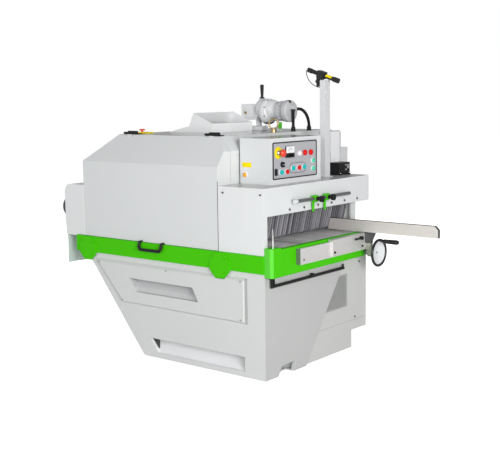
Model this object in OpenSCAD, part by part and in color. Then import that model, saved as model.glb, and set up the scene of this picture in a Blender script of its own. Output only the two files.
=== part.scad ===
// Multi rip saw with chain feed, swing-up side door, infeed fence and roof-mounted gear unit.
// +X points out of the infeed end, the operator's end. -Y is the near side with the swing-up door.
// The origin lies on the floor under the middle of the cabinet's foot.

/* [Base] */
// Length of the cabinet where it meets the floor
base_l = 1028; // [1020:2:1060]
// Width of the cabinet
base_w = 1168; // [1160:2:1190]
// Height of the cabinet's top
base_h = 660; // [656:1:664]
// How far the leaning outfeed end reaches past the foot
base_lean = 533; // [500:1:540]
// Sheet thickness of the cabinet and the housings
sheet = 5; // [4:0.5:6]
// Depth of the step on the infeed face
face_step = 20; // [16:1:24]

/* [Bed] */
// Length of the bed frame
bed_l = 1656; // [1650:2:1680]
// Height of the green band
band_h = 109; // [105:1:112]
// Height of the table above the floor
table_h = 800; // [798:1:802]
// Distance from the infeed face to the infeed sprocket shaft
shaft_in = 340; // [335:1:345]
// Distance between the two sprocket shafts
shaft_span = 1196; // [1190:1:1200]
// Width of the feed chain
chain_w = 320; // [300:5:330]

/* [Hood] */
// Length of the upper housing and of its side door
hood_l = 1218; // [1210:2:1220]
// Height of the roof above the floor
roof_h = 1468; // [1464:1:1472]
// Height at which the door's slope starts
knee_h = 1287; // [1270:1:1300]
// Depth of the door's slope
slope_d = 125; // [120:1:130]
// How far the housing overhangs the cabinet on the far side
overhang = 197; // [190:1:200]
// How far the side door swings up
door_open = 75; // [40:1:80]

/* [Infeed] */
// Height of the infeed hood's lower edge
mouth_top = 1002; // [998:1:1006]
// Height of the infeed hood's top
infeed_top = 1172; // [1168:1:1176]
// Number of anti-kickback fingers
finger_count = 45; // [30:1:45]
// Lean of the fingers at rest
finger_lean = 13; // [10:1:28]

/* [Fence] */
// Length of the fence bar
fence_l = 832; // [800:1:900]
// Height of the fence bar
fence_tall = 76; // [60:1:80]
// Diameter of the handwheel
wheel_d = 190; // [170:2:200]

/* [Saw] */
// Diameter of the saw blades
blade_d = 310; // [300:1:311]
// Number of saw blades
blade_count = 5; // [3:2:5]
// Side position of the middle of the cut
cut_y = 100; // [90:1:110]

/* [Controls] */
// Width of the control box
box_w = 525; // [515:1:530]
// Height of the control box
box_h = 284; // [280:1:290]
// Diameter of a push button
button_d = 30; // [20:1:30]
// Height of the laser post
post_h = 640; // [600:5:660]

/* [Hidden] */
$fn = 48;

// Colours of the finishes
white_paint = [0.86, 0.87, 0.87];
green_paint = [0.26, 0.73, 0.02];
bare_steel = [0.66, 0.65, 0.64];
dark_steel = [0.36, 0.36, 0.38];
black_part = [0.09, 0.09, 0.10];
panel_grey = [0.62, 0.63, 0.66];
signal_red = [0.85, 0.10, 0.08];
button_green = [0.05, 0.62, 0.50];
signal_yellow = [0.95, 0.80, 0.05];

// Radial play of a running fit and face gap between neighbours
play = 0.05;
gap = 0.4;

// Main planes of the machine
face_x = base_l / 2;
near_y = -base_w / 2;
far_y = base_w / 2;
foot_gap = 4;
bed_out_x = face_x - bed_l;
band_top = base_h + band_h;
band_proud = 10;
hood_in_x = face_x - 357;
hood_out_x = hood_in_x - hood_l;
over_y = far_y + overhang;
door_edge_y = near_y + slope_d;
notch_y = 400;
notch_h = 122;

// Slope of the leaning end, as run per height
lean_run = base_lean / (base_h - foot_gap);
lean_grow = sqrt(1 + lean_run * lean_run);

// A box between two corners given as ranges
module block(xs, ys, zs) {
    translate([xs[0], ys[0], zs[0]])
        cube([xs[1] - xs[0], ys[1] - ys[0], zs[1] - zs[0]]);
}

// Outline in Y and Z, carried along X
module along_x(xs) {
    translate([xs[0], 0, 0])
        rotate([90, 0, 90])
            linear_extrude(xs[1] - xs[0])
                children();
}

// Outline in X and Z, carried along Y
module along_y(ys) {
    translate([0, ys[1], 0])
        rotate([90, 0, 0])
            linear_extrude(ys[1] - ys[0])
                children();
}

// A range of Y on the far side, or its mirror image on the near side
function on_side(side, a, b) = side > 0 ? [a, b] : [-b, -a];

// Round bars along the three axes
module rod_x(xs, y, z, d) {
    translate([xs[0], y, z])
        rotate([0, 90, 0])
            cylinder(h = xs[1] - xs[0], d = d);
}

module rod_y(ys, x, z, d) {
    translate([x, ys[0], z])
        rotate([-90, 0, 0])
            cylinder(h = ys[1] - ys[0], d = d);
}

module rod_z(zs, x, y, d) {
    translate([x, y, zs[0]])
        cylinder(h = zs[1] - zs[0], d = d);
}

// Round bar between two points, with a round end at the second
module bar_between(a, b, d) {
    v = b - a;
    translate(a)
        rotate([0, acos(v[2] / norm(v)), atan2(v[1], v[0])])
            cylinder(h = norm(v), d = d);
    translate(b) sphere(d = d);
}

// Base cabinet: a leaning side outline crossed with an end outline that has a notch

function lean_x(z) = -base_l / 2 - lean_run * (z - foot_gap);

module cabinet_side(inset, open_top) {
    in_x = face_x - (inset > 0 ? face_step + inset : 0);
    polygon([
        [lean_x(foot_gap + inset) + inset * lean_grow, foot_gap + inset],
        [in_x, foot_gap + inset],
        [in_x, base_h + open_top],
        [lean_x(base_h) + inset * lean_grow, base_h + open_top]
    ]);
}

module cabinet_end(inset) {
    polygon([
        [near_y + inset, foot_gap + inset],
        [notch_y - inset, foot_gap + inset],
        [notch_y - inset, notch_h + inset],
        [far_y - inset, notch_h + inset],
        [far_y - inset, base_h + 2],
        [near_y + inset, base_h + 2]
    ]);
}

module cabinet_solid(inset, open_top) {
    intersection() {
        along_y([near_y, far_y]) cabinet_side(inset, open_top);
        along_x([lean_x(base_h) - 10, face_x]) cabinet_end(inset);
    }
}

// Side pockets: a leaning opening, closed at the back by a slanting sheet
low_pocket = [[-458, 131], [355, 131], [355, 38], [-380, 38]];
high_pocket = [[-627, 518], [-55, 518], [-8, 430], [-570, 430]];

function grown(p, g) = [
    [p[0][0] - 1.5 * g, p[0][1] + g],
    [p[1][0] + 1.5 * g, p[1][1] + g],
    [p[2][0] + 1.5 * g, p[2][1] - g],
    [p[3][0] - 1.5 * g, p[3][1] - g]
];

module pocket(p, front, depth, g) {
    q = grown(p, g);
    intersection() {
        along_y([front, near_y + depth + g]) polygon(q);
        along_x([q[0][0] - 1, q[2][0] + 100])
            polygon([
                [front, q[2][1]],
                [front, q[0][1]],
                [near_y + depth + g, q[0][1]],
                [near_y + 12 + g, q[2][1]]
            ]);
    }
}

motor_x = -330;
motor_z = 320;
motor_d = 300;
vent_y = [40, 352];
vent_z = [298, 524];
foot_spots = [[430, -370], [430, 330], [-440, -370], [-440, 330]];

module base_cabinet() {
    color(white_paint)
    difference() {
        union() {
            difference() {
                cabinet_solid(0, 0);
                cabinet_solid(sheet, 2);
            }
            pocket(low_pocket, near_y, 100, sheet);
            // niche round the levelling foot behind the cut-out
            difference() {
                block([396, face_x - 1], [-468, -262], [foot_gap + 1, 74]);
                block([400, face_x], [-464, -266], [foot_gap, 70]);
            }
            // middle runner on the floor
            block([-420, 420], [-40, 40], [0, foot_gap + 0.1]);
        }
        pocket(low_pocket, near_y - 2, 100, 0);
        // room for the pocket of the side cover
        along_y([near_y - 1, near_y + sheet + 1]) polygon(grown(high_pocket, sheet + 1));
        // stepped infeed face behind a slanting edge
        along_x([face_x - face_step, face_x + 1])
            polygon([
                [-165, 0],
                [318, base_h + 1],
                [far_y + 1, base_h + 1],
                [far_y + 1, 0]
            ]);
        block([face_x - 60, face_x - face_step], vent_y, vent_z);
        // foot cut-out in the infeed face
        along_x([face_x - 60, face_x + 1])
            polygon([[-460, 0], [-418, 65], [-273, 65], [-299, 0]]);
        for (spot = foot_spots)
            rod_z([0, 80], spot[0], spot[1], 21);
        // way out for the chain through the leaning end
        block([lean_x(base_h) - 2, shaft_x[1] + 90], [chain_y[0] - 12, chain_y[1] + 12],
            [chain_top - 2 * chain_r - 70, base_h + 1]);
        // opening for the motor in the far wall
        rod_y([far_y - 20, far_y + 1], motor_x, motor_z, motor_d + 12);
    }
}

// Perforated panel over the vent opening
module vent_panel() {
    slot = [13, 5];
    pitch = [20, 10.4];
    rows = 20;
    columns = 14;
    color(white_paint)
    along_x([face_x - face_step - sheet - 3, face_x - face_step - sheet - gap])
        difference() {
            translate([vent_y[0] - 14, vent_z[0] - 14])
                square([vent_y[1] - vent_y[0] + 28, vent_z[1] - vent_z[0] + 28]);
            for (row = [0 : rows - 1], column = [0 : columns - 1])
                translate([
                    vent_y[0] + 20 + pitch[0] * (column + 0.5 * (row % 2)),
                    vent_z[0] + 10 + pitch[1] * row
                ])
                    square(slot);
        }
}

// Raised cover on the near side, a bevelled pan with a pocket through it
cover_proud = 16;
cover_outline = [[-944, 620], [380, 620], [380, 338], [-708, 342]];

module cover_slab(g, y) {
    translate([0, y, 0])
        rotate([90, 0, 0])
            linear_extrude(0.5)
                polygon(grown(cover_outline, g));
}

module side_cover() {
    bevel = 14;
    color(white_paint)
    difference() {
        union() {
            difference() {
                hull() {
                    cover_slab(0, near_y - gap);
                    cover_slab(-bevel, near_y - cover_proud + 0.5);
                }
                hull() {
                    cover_slab(-4, near_y - gap + 1);
                    cover_slab(-bevel - 4, near_y - cover_proud + 4);
                }
            }
            pocket(high_pocket, near_y - cover_proud + 1, 62, 3);
        }
        pocket(high_pocket, near_y - cover_proud - 1, 62, 0);
        // room for the shaft cover above
        translate([shaft_x[0], near_y - cover_proud - 1, shaft_cover_z])
            rotate([-90, 0, 0])
                octagon(shaft_cover_r + 4, cover_proud - band_proud + 2);
    }
}

// Four levelling feet: pad, stem and lock nut
module levelling_feet() {
    color(bare_steel)
    for (spot = foot_spots) {
        rod_z([0, foot_gap - 0.5], spot[0], spot[1], 60);
        rod_z([1, 95], spot[0], spot[1], 20);
        translate([spot[0], spot[1], foot_gap + sheet + gap])
            cylinder(h = 16, d = 36, $fn = 6);
    }
}

// Sprocket shafts of the feed chain
shaft_z = 695;
shaft_d = 50;
shaft_x = [face_x - shaft_in, face_x - shaft_in - shaft_span];
band_t = 20;

module bed_frame() {
    outer_y = [near_y - band_proud, far_y + band_proud];
    inner_y = [outer_y[0] + band_t, outer_y[1] - band_t];
    color(green_paint)
    difference() {
        block([bed_out_x, face_x], outer_y, [base_h, band_top]);
        block([bed_out_x + band_t, face_x - band_t], inner_y, [base_h - 1, band_top + 1]);
        for (x = shaft_x)
            rod_y([outer_y[0] - 1, outer_y[1] + 1], x, shaft_z, shaft_d + 2 * play);
        // room for the chain inside the outfeed end
        block([bed_out_x + 8, bed_out_x + band_t + 1], [chain_y[0] - 12, chain_y[1] + 12],
            [base_h - 1, band_top + 1]);
    }
    // ledges and cross bearers that carry the table plate
    color(green_paint)
    for (side = [-1, 1]) {
        wall_y = far_y + band_proud - band_t;
        inner = side > 0 ? 290 : 90;
        block([hood_in_x + 8, face_x - 30], on_side(side, 520, wall_y + 0.1), [band_top - 30, band_top]);
        block([hood_in_x + 8, face_x - 30], on_side(side, 520, 545), [band_top - 1, table_h - 14]);
        for (x = [60, -420, -880]) {
            block([x - 16, x + 16], on_side(side, inner, wall_y + 0.1), [band_top - 60, band_top - 4]);
            block([x - 16, x + 16], on_side(side, inner, 410), [band_top - 5, table_h - 14]);
        }
    }
}

// Octagonal covers over the shaft ends, two a side
shaft_cover_z = 685;
shaft_cover_r = 80 / cos(22.5);

module octagon(r, h) {
    rotate([0, 0, 22.5])
        cylinder(h = h, r = r, $fn = 8);
}

module shaft_covers() {
    cover_t = 8;
    color(green_paint)
    for (x = shaft_x, side = [-1, 1])
        translate([x, side * (far_y + band_proud) + (side > 0 ? 0 : -cover_t), shaft_cover_z])
            rotate([-90, 0, 0])
                octagon(shaft_cover_r, cover_t);
}

// Front beam with the marker pin and the corner block, which holds the pivot of the trip bar
beam_front = face_x + 34;
beam_low = 632;
trip_pivot = [face_x + 14, 654];
trip_lug = [-535, -526];
trip_fork = [[trip_lug[0] - 9, trip_lug[0] - 1], [trip_lug[1] + 1, trip_lug[1] + 9]];
corner_y = [near_y - 8, near_y + 80];

module front_beam() {
    beam_wall = 10;
    color(green_paint)
    difference() {
        union() {
            along_y([corner_y[1] - 1, 486])
                polygon([
                    [face_x + gap, table_h],
                    [beam_front, table_h],
                    [beam_front, beam_low],
                    [beam_front - beam_wall, beam_low],
                    [beam_front - beam_wall, table_h - beam_wall],
                    [face_x + gap, table_h - beam_wall]
                ]);
            linear_extrude_between([641, 818])
                polygon([
                    [face_x + gap, corner_y[0] + 6],
                    [face_x + 46, corner_y[0]],
                    [face_x + 64, corner_y[0] + 14],
                    [face_x + 64, corner_y[1]],
                    [beam_front - beam_wall, corner_y[1]],
                    [face_x + gap, corner_y[1] - 4]
                ]);
        }
        rod_y([trip_fork[0][0], trip_fork[1][1]], trip_pivot[0], trip_pivot[1], 10 + 2 * play);
        // the fork of the trip bar swings in slots under the corner block
        for (arm = trip_fork)
            block([face_x, trip_pivot[0] + 13], [arm[0] - 2, arm[1] + 2 * gap], [640, 676]);
    }
    color(green_paint)
    translate([face_x + 44, near_y + 26, 818])
        cylinder(h = 118, d1 = 9, d2 = 3);
}

// Outline in X and Y between two heights
module linear_extrude_between(zs) {
    translate([0, 0, zs[0]])
        linear_extrude(zs[1] - zs[0])
            children();
}

// Table plate with a window for the feed chain and grooves at the infeed
chain_top = table_h - 2;
chain_y = [cut_y - chain_w / 2, cut_y + chain_w / 2];

module table_plates() {
    groove_w = 12;
    groove_pitch = 36;
    grooves = 30;
    color(bare_steel)
    difference() {
        union() {
            block([hood_in_x + 3, face_x - gap], [-552, 546], [table_h - 14, table_h]);
            block([bed_out_x + 30, hood_in_x + 4], [-416, 436], [table_h - 14, table_h]);
        }
        block([bed_out_x + 29, shaft_x[0] + 60], [chain_y[0] - 6, chain_y[1] + 6],
            [table_h - 15, table_h + 1]);
        for (i = [0 : grooves - 1])
            block([shaft_x[0] + 68, face_x], [-540 + i * groove_pitch, -540 + i * groove_pitch + groove_w],
                [table_h - 5, table_h + 1]);
    }
}

// Feed chain: pads on a band that runs round both drums
chain_r = chain_top - shaft_z;
pad_t = 16;
chain_loop = 2 * shaft_span + 2 * PI * chain_r;

// Place of a pad at a distance along the loop: x, z and turn about Y
function loop_place(s) =
    s < shaft_span
        ? [shaft_x[1] + s, chain_top, 0]
        : s < shaft_span + PI * chain_r
            ? let (a = (s - shaft_span) / chain_r * 180 / PI)
                [shaft_x[0] + chain_r * sin(a), shaft_z + chain_r * cos(a), a]
            : s < 2 * shaft_span + PI * chain_r
                ? [shaft_x[0] - (s - shaft_span - PI * chain_r), shaft_z - chain_r, 180]
                : let (a = 180 + (s - 2 * shaft_span - PI * chain_r) / chain_r * 180 / PI)
                    [shaft_x[1] + chain_r * sin(a), shaft_z + chain_r * cos(a), a];

module stadium(r) {
    for (x = shaft_x)
        translate([x, shaft_z]) circle(r = r);
    translate([shaft_x[1], shaft_z - r]) square([shaft_span, 2 * r]);
}

module feed_chain() {
    pads = 50;
    color(dark_steel)
    along_y([chain_y[0] + 20, chain_y[1] - 20])
        difference() {
            stadium(chain_r - pad_t + 2);
            stadium(chain_r - pad_t - 8);
        }
    color(black_part)
    for (i = [0 : pads - 1]) {
        place = loop_place(i * chain_loop / pads);
        translate([place[0], 0, place[1]])
            rotate([0, place[2], 0])
                block([-26, 26], chain_y, [-pad_t, 0]);
    }
}

// Drums that carry the chain, on their shafts
module sprockets(x) {
    drum_r = chain_r - pad_t - 8 - gap;
    color(bare_steel)
    rod_y([near_y - band_proud + 1, far_y + band_proud - 1], x, shaft_z, shaft_d);
    color(dark_steel)
    for (y = [chain_y[0] + 30, cut_y - 20, chain_y[1] - 70])
        rod_y([y, y + 40], x, shaft_z, 2 * drum_r);
}

module infeed_sprockets() {
    sprockets(shaft_x[0]);
}

module outfeed_sprockets() {
    sprockets(shaft_x[1]);
}

// Upper housing

hip_out = 242;
hip_in = 82;
hood_end_h = 1377;

module hood_side(inset, low) {
    polygon([
        [hood_out_x + inset, low],
        [hood_out_x + inset, knee_h],
        [hood_out_x + hip_out, roof_h - inset],
        [hood_in_x - hip_in, roof_h - inset],
        [hood_in_x - inset, hood_end_h],
        [hood_in_x - inset, low]
    ]);
}

arbor_x = motor_x;
arbor_z = table_h + blade_d / 2;
chute_x = [-508, -296];
chute_y = [-98, 331];

module main_housing() {
    mouth_y = [door_edge_y - 10, 560];
    color(white_paint)
    difference() {
        union() {
            difference() {
                along_y([door_edge_y + 3, over_y]) hood_side(0, band_top);
                along_y([door_edge_y, over_y - sheet]) hood_side(sheet, band_top - 1);
            }
            block([hood_out_x, hood_in_x], [far_y + band_proud + gap, over_y], [band_top, band_top + sheet]);
            block([hood_out_x, hood_in_x], [far_y - 6, far_y], [band_top, 900]);
            // upright plate at the far corner of the infeed end
            along_x([hood_in_x - sheet, hood_in_x])
                polygon([[560, 1300], [560, 1464], [764, 1464], [over_y, 1447], [over_y, 1300]]);
        }
        for (x = [hood_in_x, hood_out_x])
            block([x - 20, x + 20], mouth_y, [band_top - 1, mouth_top]);
        block([chute_x[0] + 20, chute_x[1] - 10], [chute_y[0] + 10, chute_y[1] - 10],
            [roof_h - 20, roof_h + 1]);
        rod_y([over_y - 20, over_y + 1], arbor_x, arbor_z, 60);
        rod_z([roof_h - 20, roof_h + 1], roof_stop_at[0], roof_stop_at[1], push_d + 4);
    }
}

// Side door: the hood's side outline crossed with a sloping end outline
module door_solid(inset, open_edge) {
    low = band_top + 2 - open_edge;
    intersection() {
        along_y([near_y, door_edge_y + open_edge]) hood_side(inset, low);
        along_x([hood_out_x, hood_in_x])
            polygon([
                [near_y + inset, low],
                [near_y + inset, knee_h],
                [door_edge_y, roof_h - inset],
                [door_edge_y + open_edge, roof_h - inset],
                [door_edge_y + open_edge, low]
            ]);
    }
}

module side_door() {
    door_t = 4;
    color(white_paint)
    difference() {
        door_solid(0, 0);
        door_solid(door_t, 1);
        // the ends stay clear of the infeed and outfeed mouths
        for (x = [hood_in_x, hood_out_x])
            block([x - 20, x + 20], [near_y + door_t, door_edge_y + 1], [band_top, mouth_top]);
    }
}

// Hinges along the roof edge: fixed leaves with pins, swinging leaves with a middle knuckle
hinge_spots = [-715, 12];
hinge_y = door_edge_y + 2;
hinge_z = roof_h + 9;
hinge_half = 60;
knuckle_half = 22;
knuckle_d = 15;
pin_d = 7;

module hinge_leaves() {
    color(black_part)
    for (x = hinge_spots) {
        difference() {
            union() {
                block([x - hinge_half, x + hinge_half], [hinge_y + 11, hinge_y + 46],
                    [roof_h + gap, roof_h + 6]);
                for (side = [-1, 1]) {
                    ends = side < 0
                        ? [x - hinge_half, x - knuckle_half - gap]
                        : [x + knuckle_half + gap, x + hinge_half];
                    rod_x(ends, hinge_y, hinge_z, knuckle_d);
                    block(ends, [hinge_y, hinge_y + 14], [hinge_z - 6, hinge_z]);
                }
            }
            block([x - knuckle_half - gap, x + knuckle_half + gap], [hinge_y - 9, hinge_y + 10],
                [roof_h, hinge_z + 9]);
        }
        rod_x([x - hinge_half, x + hinge_half], hinge_y, hinge_z, pin_d);
    }
}

// Handle under the door's lower edge and the swinging leaves of the hinges
handle_x = [-508, -310];
handle_y = near_y - 34;
handle_z = [725, 771];
handle_d = 20;

// Points of the bow at one end: foot, leg and start of the grip
function handle_points(x, inward) = [
    [x, near_y - 21.5, handle_z[1]],
    [x, handle_y + 4, handle_z[0] + 18],
    [x + 15 * inward, handle_y, handle_z[0]]
];

module door_fittings() {
    slope_turn = atan((roof_h - knee_h) / slope_d);
    bow = [for (i = [0, 1]) handle_points(handle_x[i], 1 - 2 * i)];
    color(black_part) {
        for (leg = bow) {
            block([leg[0][0] - 9, leg[0][0] + 9], [leg[0][1], near_y - 0.05],
                [handle_z[1] + gap, handle_z[1] + 9]);
            translate(leg[0]) sphere(d = handle_d);
            bar_between(leg[0], leg[1], handle_d);
            bar_between(leg[1], leg[2], handle_d);
        }
        bar_between(bow[0][2], bow[1][2], handle_d);
    }
    color(black_part)
    for (x = hinge_spots)
        difference() {
            union() {
                rod_x([x - knuckle_half, x + knuckle_half], hinge_y, hinge_z, knuckle_d);
                translate([x, door_edge_y, roof_h])
                    rotate([slope_turn, 0, 0])
                        block([-knuckle_half, knuckle_half], [-14, 2], [0.2, 6]);
            }
            rod_x([x - hinge_half, x + hinge_half], hinge_y, hinge_z, pin_d + 2 * play);
        }
}

// Infeed hood: cross beam open below, near side panel and set-back far jamb
finger_rod = [358, 1050];
finger_rod_d = 20;
jamb_y = [556, 580];

module infeed_hood() {
    near_t = 20;
    jamb_x = [hood_in_x + gap, 409];
    color(white_paint)
    difference() {
        union() {
            difference() {
                block([hood_in_x + gap, face_x], [near_y, far_y - 2], [mouth_top, infeed_top]);
                block([hood_in_x - 1, face_x - sheet], [near_y + near_t, far_y - 2 - sheet],
                    [mouth_top - 1, infeed_top - sheet]);
            }
            block([hood_in_x + gap, face_x], [near_y, near_y + near_t], [band_top + gap, infeed_top]);
            block(jamb_x, jamb_y, [band_top + gap, infeed_top - 1]);
            // folded edges of the near panel and of the jamb
            block([face_x - 14, face_x], [near_y, near_y + 31], [band_top + gap, mouth_top + 1]);
            block([jamb_x[1] - 14, jamb_x[1]], [jamb_y[0] - 32, jamb_y[0] + 1], [table_h + 1, infeed_top - 1]);
        }
        rod_y([near_y + 8, jamb_y[0] + 10], finger_rod[0], finger_rod[1], finger_rod_d + 0.6);
        // cable way into the control box
        rod_z([infeed_top - 20, infeed_top + 1], 240, -120, 40);
    }
}

// Rods that carry the fingers and the width pointers
pointer_x = face_x + 30;
pointer_z = 1073;
pointer_d = 22;
pointer_y = [-315, 295];

module guide_rods() {
    color(bare_steel)
    rod_y([near_y + 10, jamb_y[0] + 8], finger_rod[0], finger_rod[1], finger_rod_d);
    color(bare_steel)
    rod_y(pointer_y, pointer_x, pointer_z, pointer_d);
    color(bare_steel)
    for (y = [pointer_y[0] + 24, pointer_y[1] - 24])
        rod_x([face_x, pointer_x], y, pointer_z, 12);
}

// Row of steel fingers with pointed tips, hanging from their rod and trailing inwards
module kickback_fingers() {
    finger_l = (finger_rod[1] - table_h - 3) / cos(finger_lean);
    finger_w = 30;
    finger_t = 11;
    first_y = -545;
    pitch_y = 24.8;
    color(bare_steel)
    for (i = [0 : finger_count - 1])
        translate([finger_rod[0], first_y + i * pitch_y, finger_rod[1]])
            rotate([0, finger_lean, 0])
                rotate([90, 0, 0])
                    linear_extrude(finger_t, center = true)
                        difference() {
                            union() {
                                circle(d = finger_w + 8);
                                polygon([
                                    [-finger_w / 2, 0],
                                    [finger_w / 2, 0],
                                    [finger_w / 2, 30 - finger_l],
                                    [-finger_w / 2, -finger_l + 8],
                                ]);
                            }
                            circle(d = finger_rod_d + 2 * play);
                        }
}

// Width pointers: round clamp on the rod, hanging strip and clamp knob on a stem
module pointer(y) {
    clamp_half = 17;
    color(green_paint)
    difference() {
        union() {
            rod_y([y - clamp_half, y + clamp_half], pointer_x, pointer_z, 44);
            block([pointer_x - 17, pointer_x - 11], [y - 9, y + 9], [pointer_z - 82, pointer_z - 10]);
        }
        rod_y([y - clamp_half - 1, y + clamp_half + 1], pointer_x, pointer_z, pointer_d + 2 * play);
    }
    color(black_part)
    rod_x([pointer_x + 18, pointer_x + 44], y, pointer_z, 12);
    color(black_part)
    translate([pointer_x + 42, y, pointer_z])
        rotate([0, 90, 0])
            cylinder(h = 18, d = 40, $fn = 12);
}

near_pointer_y = -100;
far_pointer_y = 28;

module near_pointer() {
    pointer(near_pointer_y);
}

module far_pointer() {
    pointer(far_pointer_y);
}

// Trip bar under the front beam: bar with a stop and a turned-up end, fork and pivot pin
trip_bar_z = 582;

module trip_bar() {
    bar_x = trip_pivot[0] + 8;
    bar_d = 20;
    end_y = 228;
    color(black_part) {
        rod_y([trip_fork[0][0] - 2, end_y + 8], bar_x, trip_bar_z, bar_d);
        bar_between([bar_x, end_y, trip_bar_z], [bar_x, end_y + 3, trip_bar_z + 20], 15);
        block([bar_x - 6, bar_x + 10], [-137, -113], [trip_bar_z, trip_bar_z + 20]);
        for (arm = trip_fork)
            along_y(arm)
                polygon([
                    [bar_x - 7, trip_bar_z],
                    [bar_x + 7, trip_bar_z],
                    [trip_pivot[0] + 8, trip_pivot[1] + 8],
                    [trip_pivot[0] - 8, trip_pivot[1] + 8]
                ]);
        rod_y([trip_fork[0][0], trip_fork[1][1]], trip_pivot[0], trip_pivot[1], 10);
    }
}

// Fence rail with a rack along its underside
rail_x = [face_x + 46, face_x + 64];
rail_y = [-308, 505];
rail_z = [686, 784];
pinion_teeth = 16;
pinion_r = 20;
tooth_pitch = 2 * PI * pinion_r / pinion_teeth;
tooth_h = 4;
wheel_y = 464;
wheel_z = rail_z[0] - tooth_h / 2 - pinion_r;

module fence_rail() {
    teeth = floor((rail_y[1] - rail_y[0] - 20) / tooth_pitch);
    first = wheel_y + tooth_pitch * (floor((rail_y[0] + 14 - wheel_y) / tooth_pitch) + 0.5);
    color(bare_steel)
    block(rail_x, rail_y, rail_z);
    color(bare_steel)
    block([beam_front, rail_x[1]], [rail_y[0] - 4, rail_y[0] + 12], rail_z);
    color(bare_steel)
    for (y = [-60, 180, 420])
        block([beam_front, rail_x[0] + 0.1], [y, y + 40], [rail_z[0] + 6, rail_z[1] - 6]);
    color(dark_steel)
    for (i = [0 : teeth - 1])
        along_x([rail_x[0] + 1, rail_x[1] - 1])
            translate([first + i * tooth_pitch, rail_z[0] + 0.1])
                polygon([[-1.7, 0], [1.7, 0], [1, -tooth_h - 0.1], [-1, -tooth_h - 0.1]]);
}

// Fence carriage: hook plate over the rail and the casting that carries the fence
carriage_x = [rail_x[1] + gap, rail_x[1] + 14];
carriage_y = [30, 420];
fence_face_y = 366;
fence_t = 26;
fence_low = table_h + 12;
fence_start = 324;
wheel_x = 646;
wheel_shaft_d = 20;

module fence_carriage() {
    back_y = fence_face_y + fence_t;
    boss_x = [600, 632];
    color(bare_steel)
    block(carriage_x, carriage_y, [rail_z[0] + 4, table_h - 2]);
    color(bare_steel)
    block([rail_x[0] - 4, carriage_x[1]], carriage_y, [rail_z[1] + gap, table_h - 2]);
    color(bare_steel)
    for (y = [44, 374])
        rod_x([carriage_x[1], carriage_x[1] + 5], y, 716, 14);
    color(dark_steel)
    difference() {
        union() {
            along_x([carriage_x[1] - 0.1, boss_x[1]])
                polygon([
                    [back_y + 6, fence_low - gap],
                    [back_y + 93, fence_low - gap],
                    [back_y + 93, 786],
                    [wheel_y - 11, 750],
                    [wheel_y - 22, 716],
                    [wheel_y + 18, wheel_z + 26],
                    [wheel_y + 18, wheel_z - 24],
                    [wheel_y - 16, wheel_z - 30],
                    [carriage_y[1] - 14, 752],
                    [carriage_y[1] - 14, 790]
                ]);
            block([560, 690], [back_y + gap, back_y + 16], [fence_low - 1, fence_low + 58]);
            rod_x([carriage_x[1], boss_x[1]], wheel_y, wheel_z, 64);
        }
        rod_x([carriage_x[0] - 1, boss_x[1] + 1], wheel_y, wheel_z, wheel_shaft_d + 2 * play);
    }
}

// Fence bar with a slanting inner end and a chamfered outer end
module fence_bar() {
    cut = 18;
    chamfer = 25;
    end_x = fence_start + fence_l;
    high = fence_low + fence_tall;
    color(bare_steel)
    along_y([fence_face_y, fence_face_y + fence_t])
        polygon([
            [fence_start, fence_low],
            [end_x, fence_low],
            [end_x, high - chamfer],
            [end_x - chamfer, high],
            [fence_start + cut, high]
        ]);
}

// Handwheel: dished disc, round rim, grip, shaft and pinion
module handwheel() {
    rim_d = 18;
    rim_r = wheel_d / 2 - rim_d / 2;
    rim_x = wheel_x + 26;
    grip_z = wheel_z + rim_r - 6;
    color(bare_steel)
    rod_x([rail_x[0] + 1, wheel_x + 2], wheel_y, wheel_z, wheel_shaft_d);
    color(white_paint)
    translate([wheel_x - 10, wheel_y, wheel_z])
        rotate([0, 90, 0])
            rotate_extrude()
                polygon([
                    [0, 0],
                    [24, 0],
                    [24, 10],
                    [rim_r, 30],
                    [rim_r, 36],
                    [22, 17],
                    [0, 17]
                ]);
    color(black_part)
    translate([rim_x - 3, wheel_y, wheel_z])
        rotate([0, 90, 0])
            rotate_extrude()
                translate([rim_r, 0]) circle(d = rim_d);
    color(black_part) {
        rod_x([rim_x, rim_x + 26], wheel_y, grip_z, 12);
        translate([rim_x + 22, wheel_y, grip_z])
            rotate([0, 90, 0])
                rotate_extrude()
                    polygon([[0, 0], [10, 0], [14, 18], [15, 70], [16, 108], [12, 122], [0, 124]]);
    }
    color(dark_steel)
    difference() {
        for (i = [0 : pinion_teeth - 1])
            translate([0, wheel_y, wheel_z])
                rotate([i * 360 / pinion_teeth, 0, 0])
                    along_x([rail_x[0] + 2, rail_x[1] - 2])
                        polygon([
                            [-2.4, pinion_r - 8],
                            [2.4, pinion_r - 8],
                            [1.6, pinion_r - tooth_h / 2],
                            [0.9, pinion_r + tooth_h / 2 - 0.5],
                            [-0.9, pinion_r + tooth_h / 2 - 0.5],
                            [-1.6, pinion_r - tooth_h / 2]
                        ]);
        rod_x([rail_x[0], rail_x[1]], wheel_y, wheel_z, wheel_shaft_d - 0.2);
    }
    color(dark_steel)
    rod_x([rail_x[0] + 2, rail_x[1] - 2], wheel_y, wheel_z, 2 * (pinion_r - tooth_h));
}

// Clamp lever of the fence carriage
lever_y = 352;
lever_z = 772;

module clamp_lever() {
    hub_x = [carriage_x[1] + gap, carriage_x[1] + 22];
    color(black_part) {
        rod_x(hub_x, lever_y, lever_z, 24);
        translate([hub_x[1] - 6, lever_y, lever_z])
            rotate([90, 0, 0])
                cylinder(h = 74, d1 = 10, d2 = 13);
        translate([hub_x[1] - 6, lever_y - 74, lever_z]) sphere(d = 16);
    }
}

// Saw arbor with collars and pulley
bearing_y = [-150, 340];
bearing_w = 42;
pulley_y = [790, 860];
pulley_r = 74;
arbor_d = 50;

function blade_y(i) = cut_y + (i - (blade_count - 1) / 2) * 60;

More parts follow.
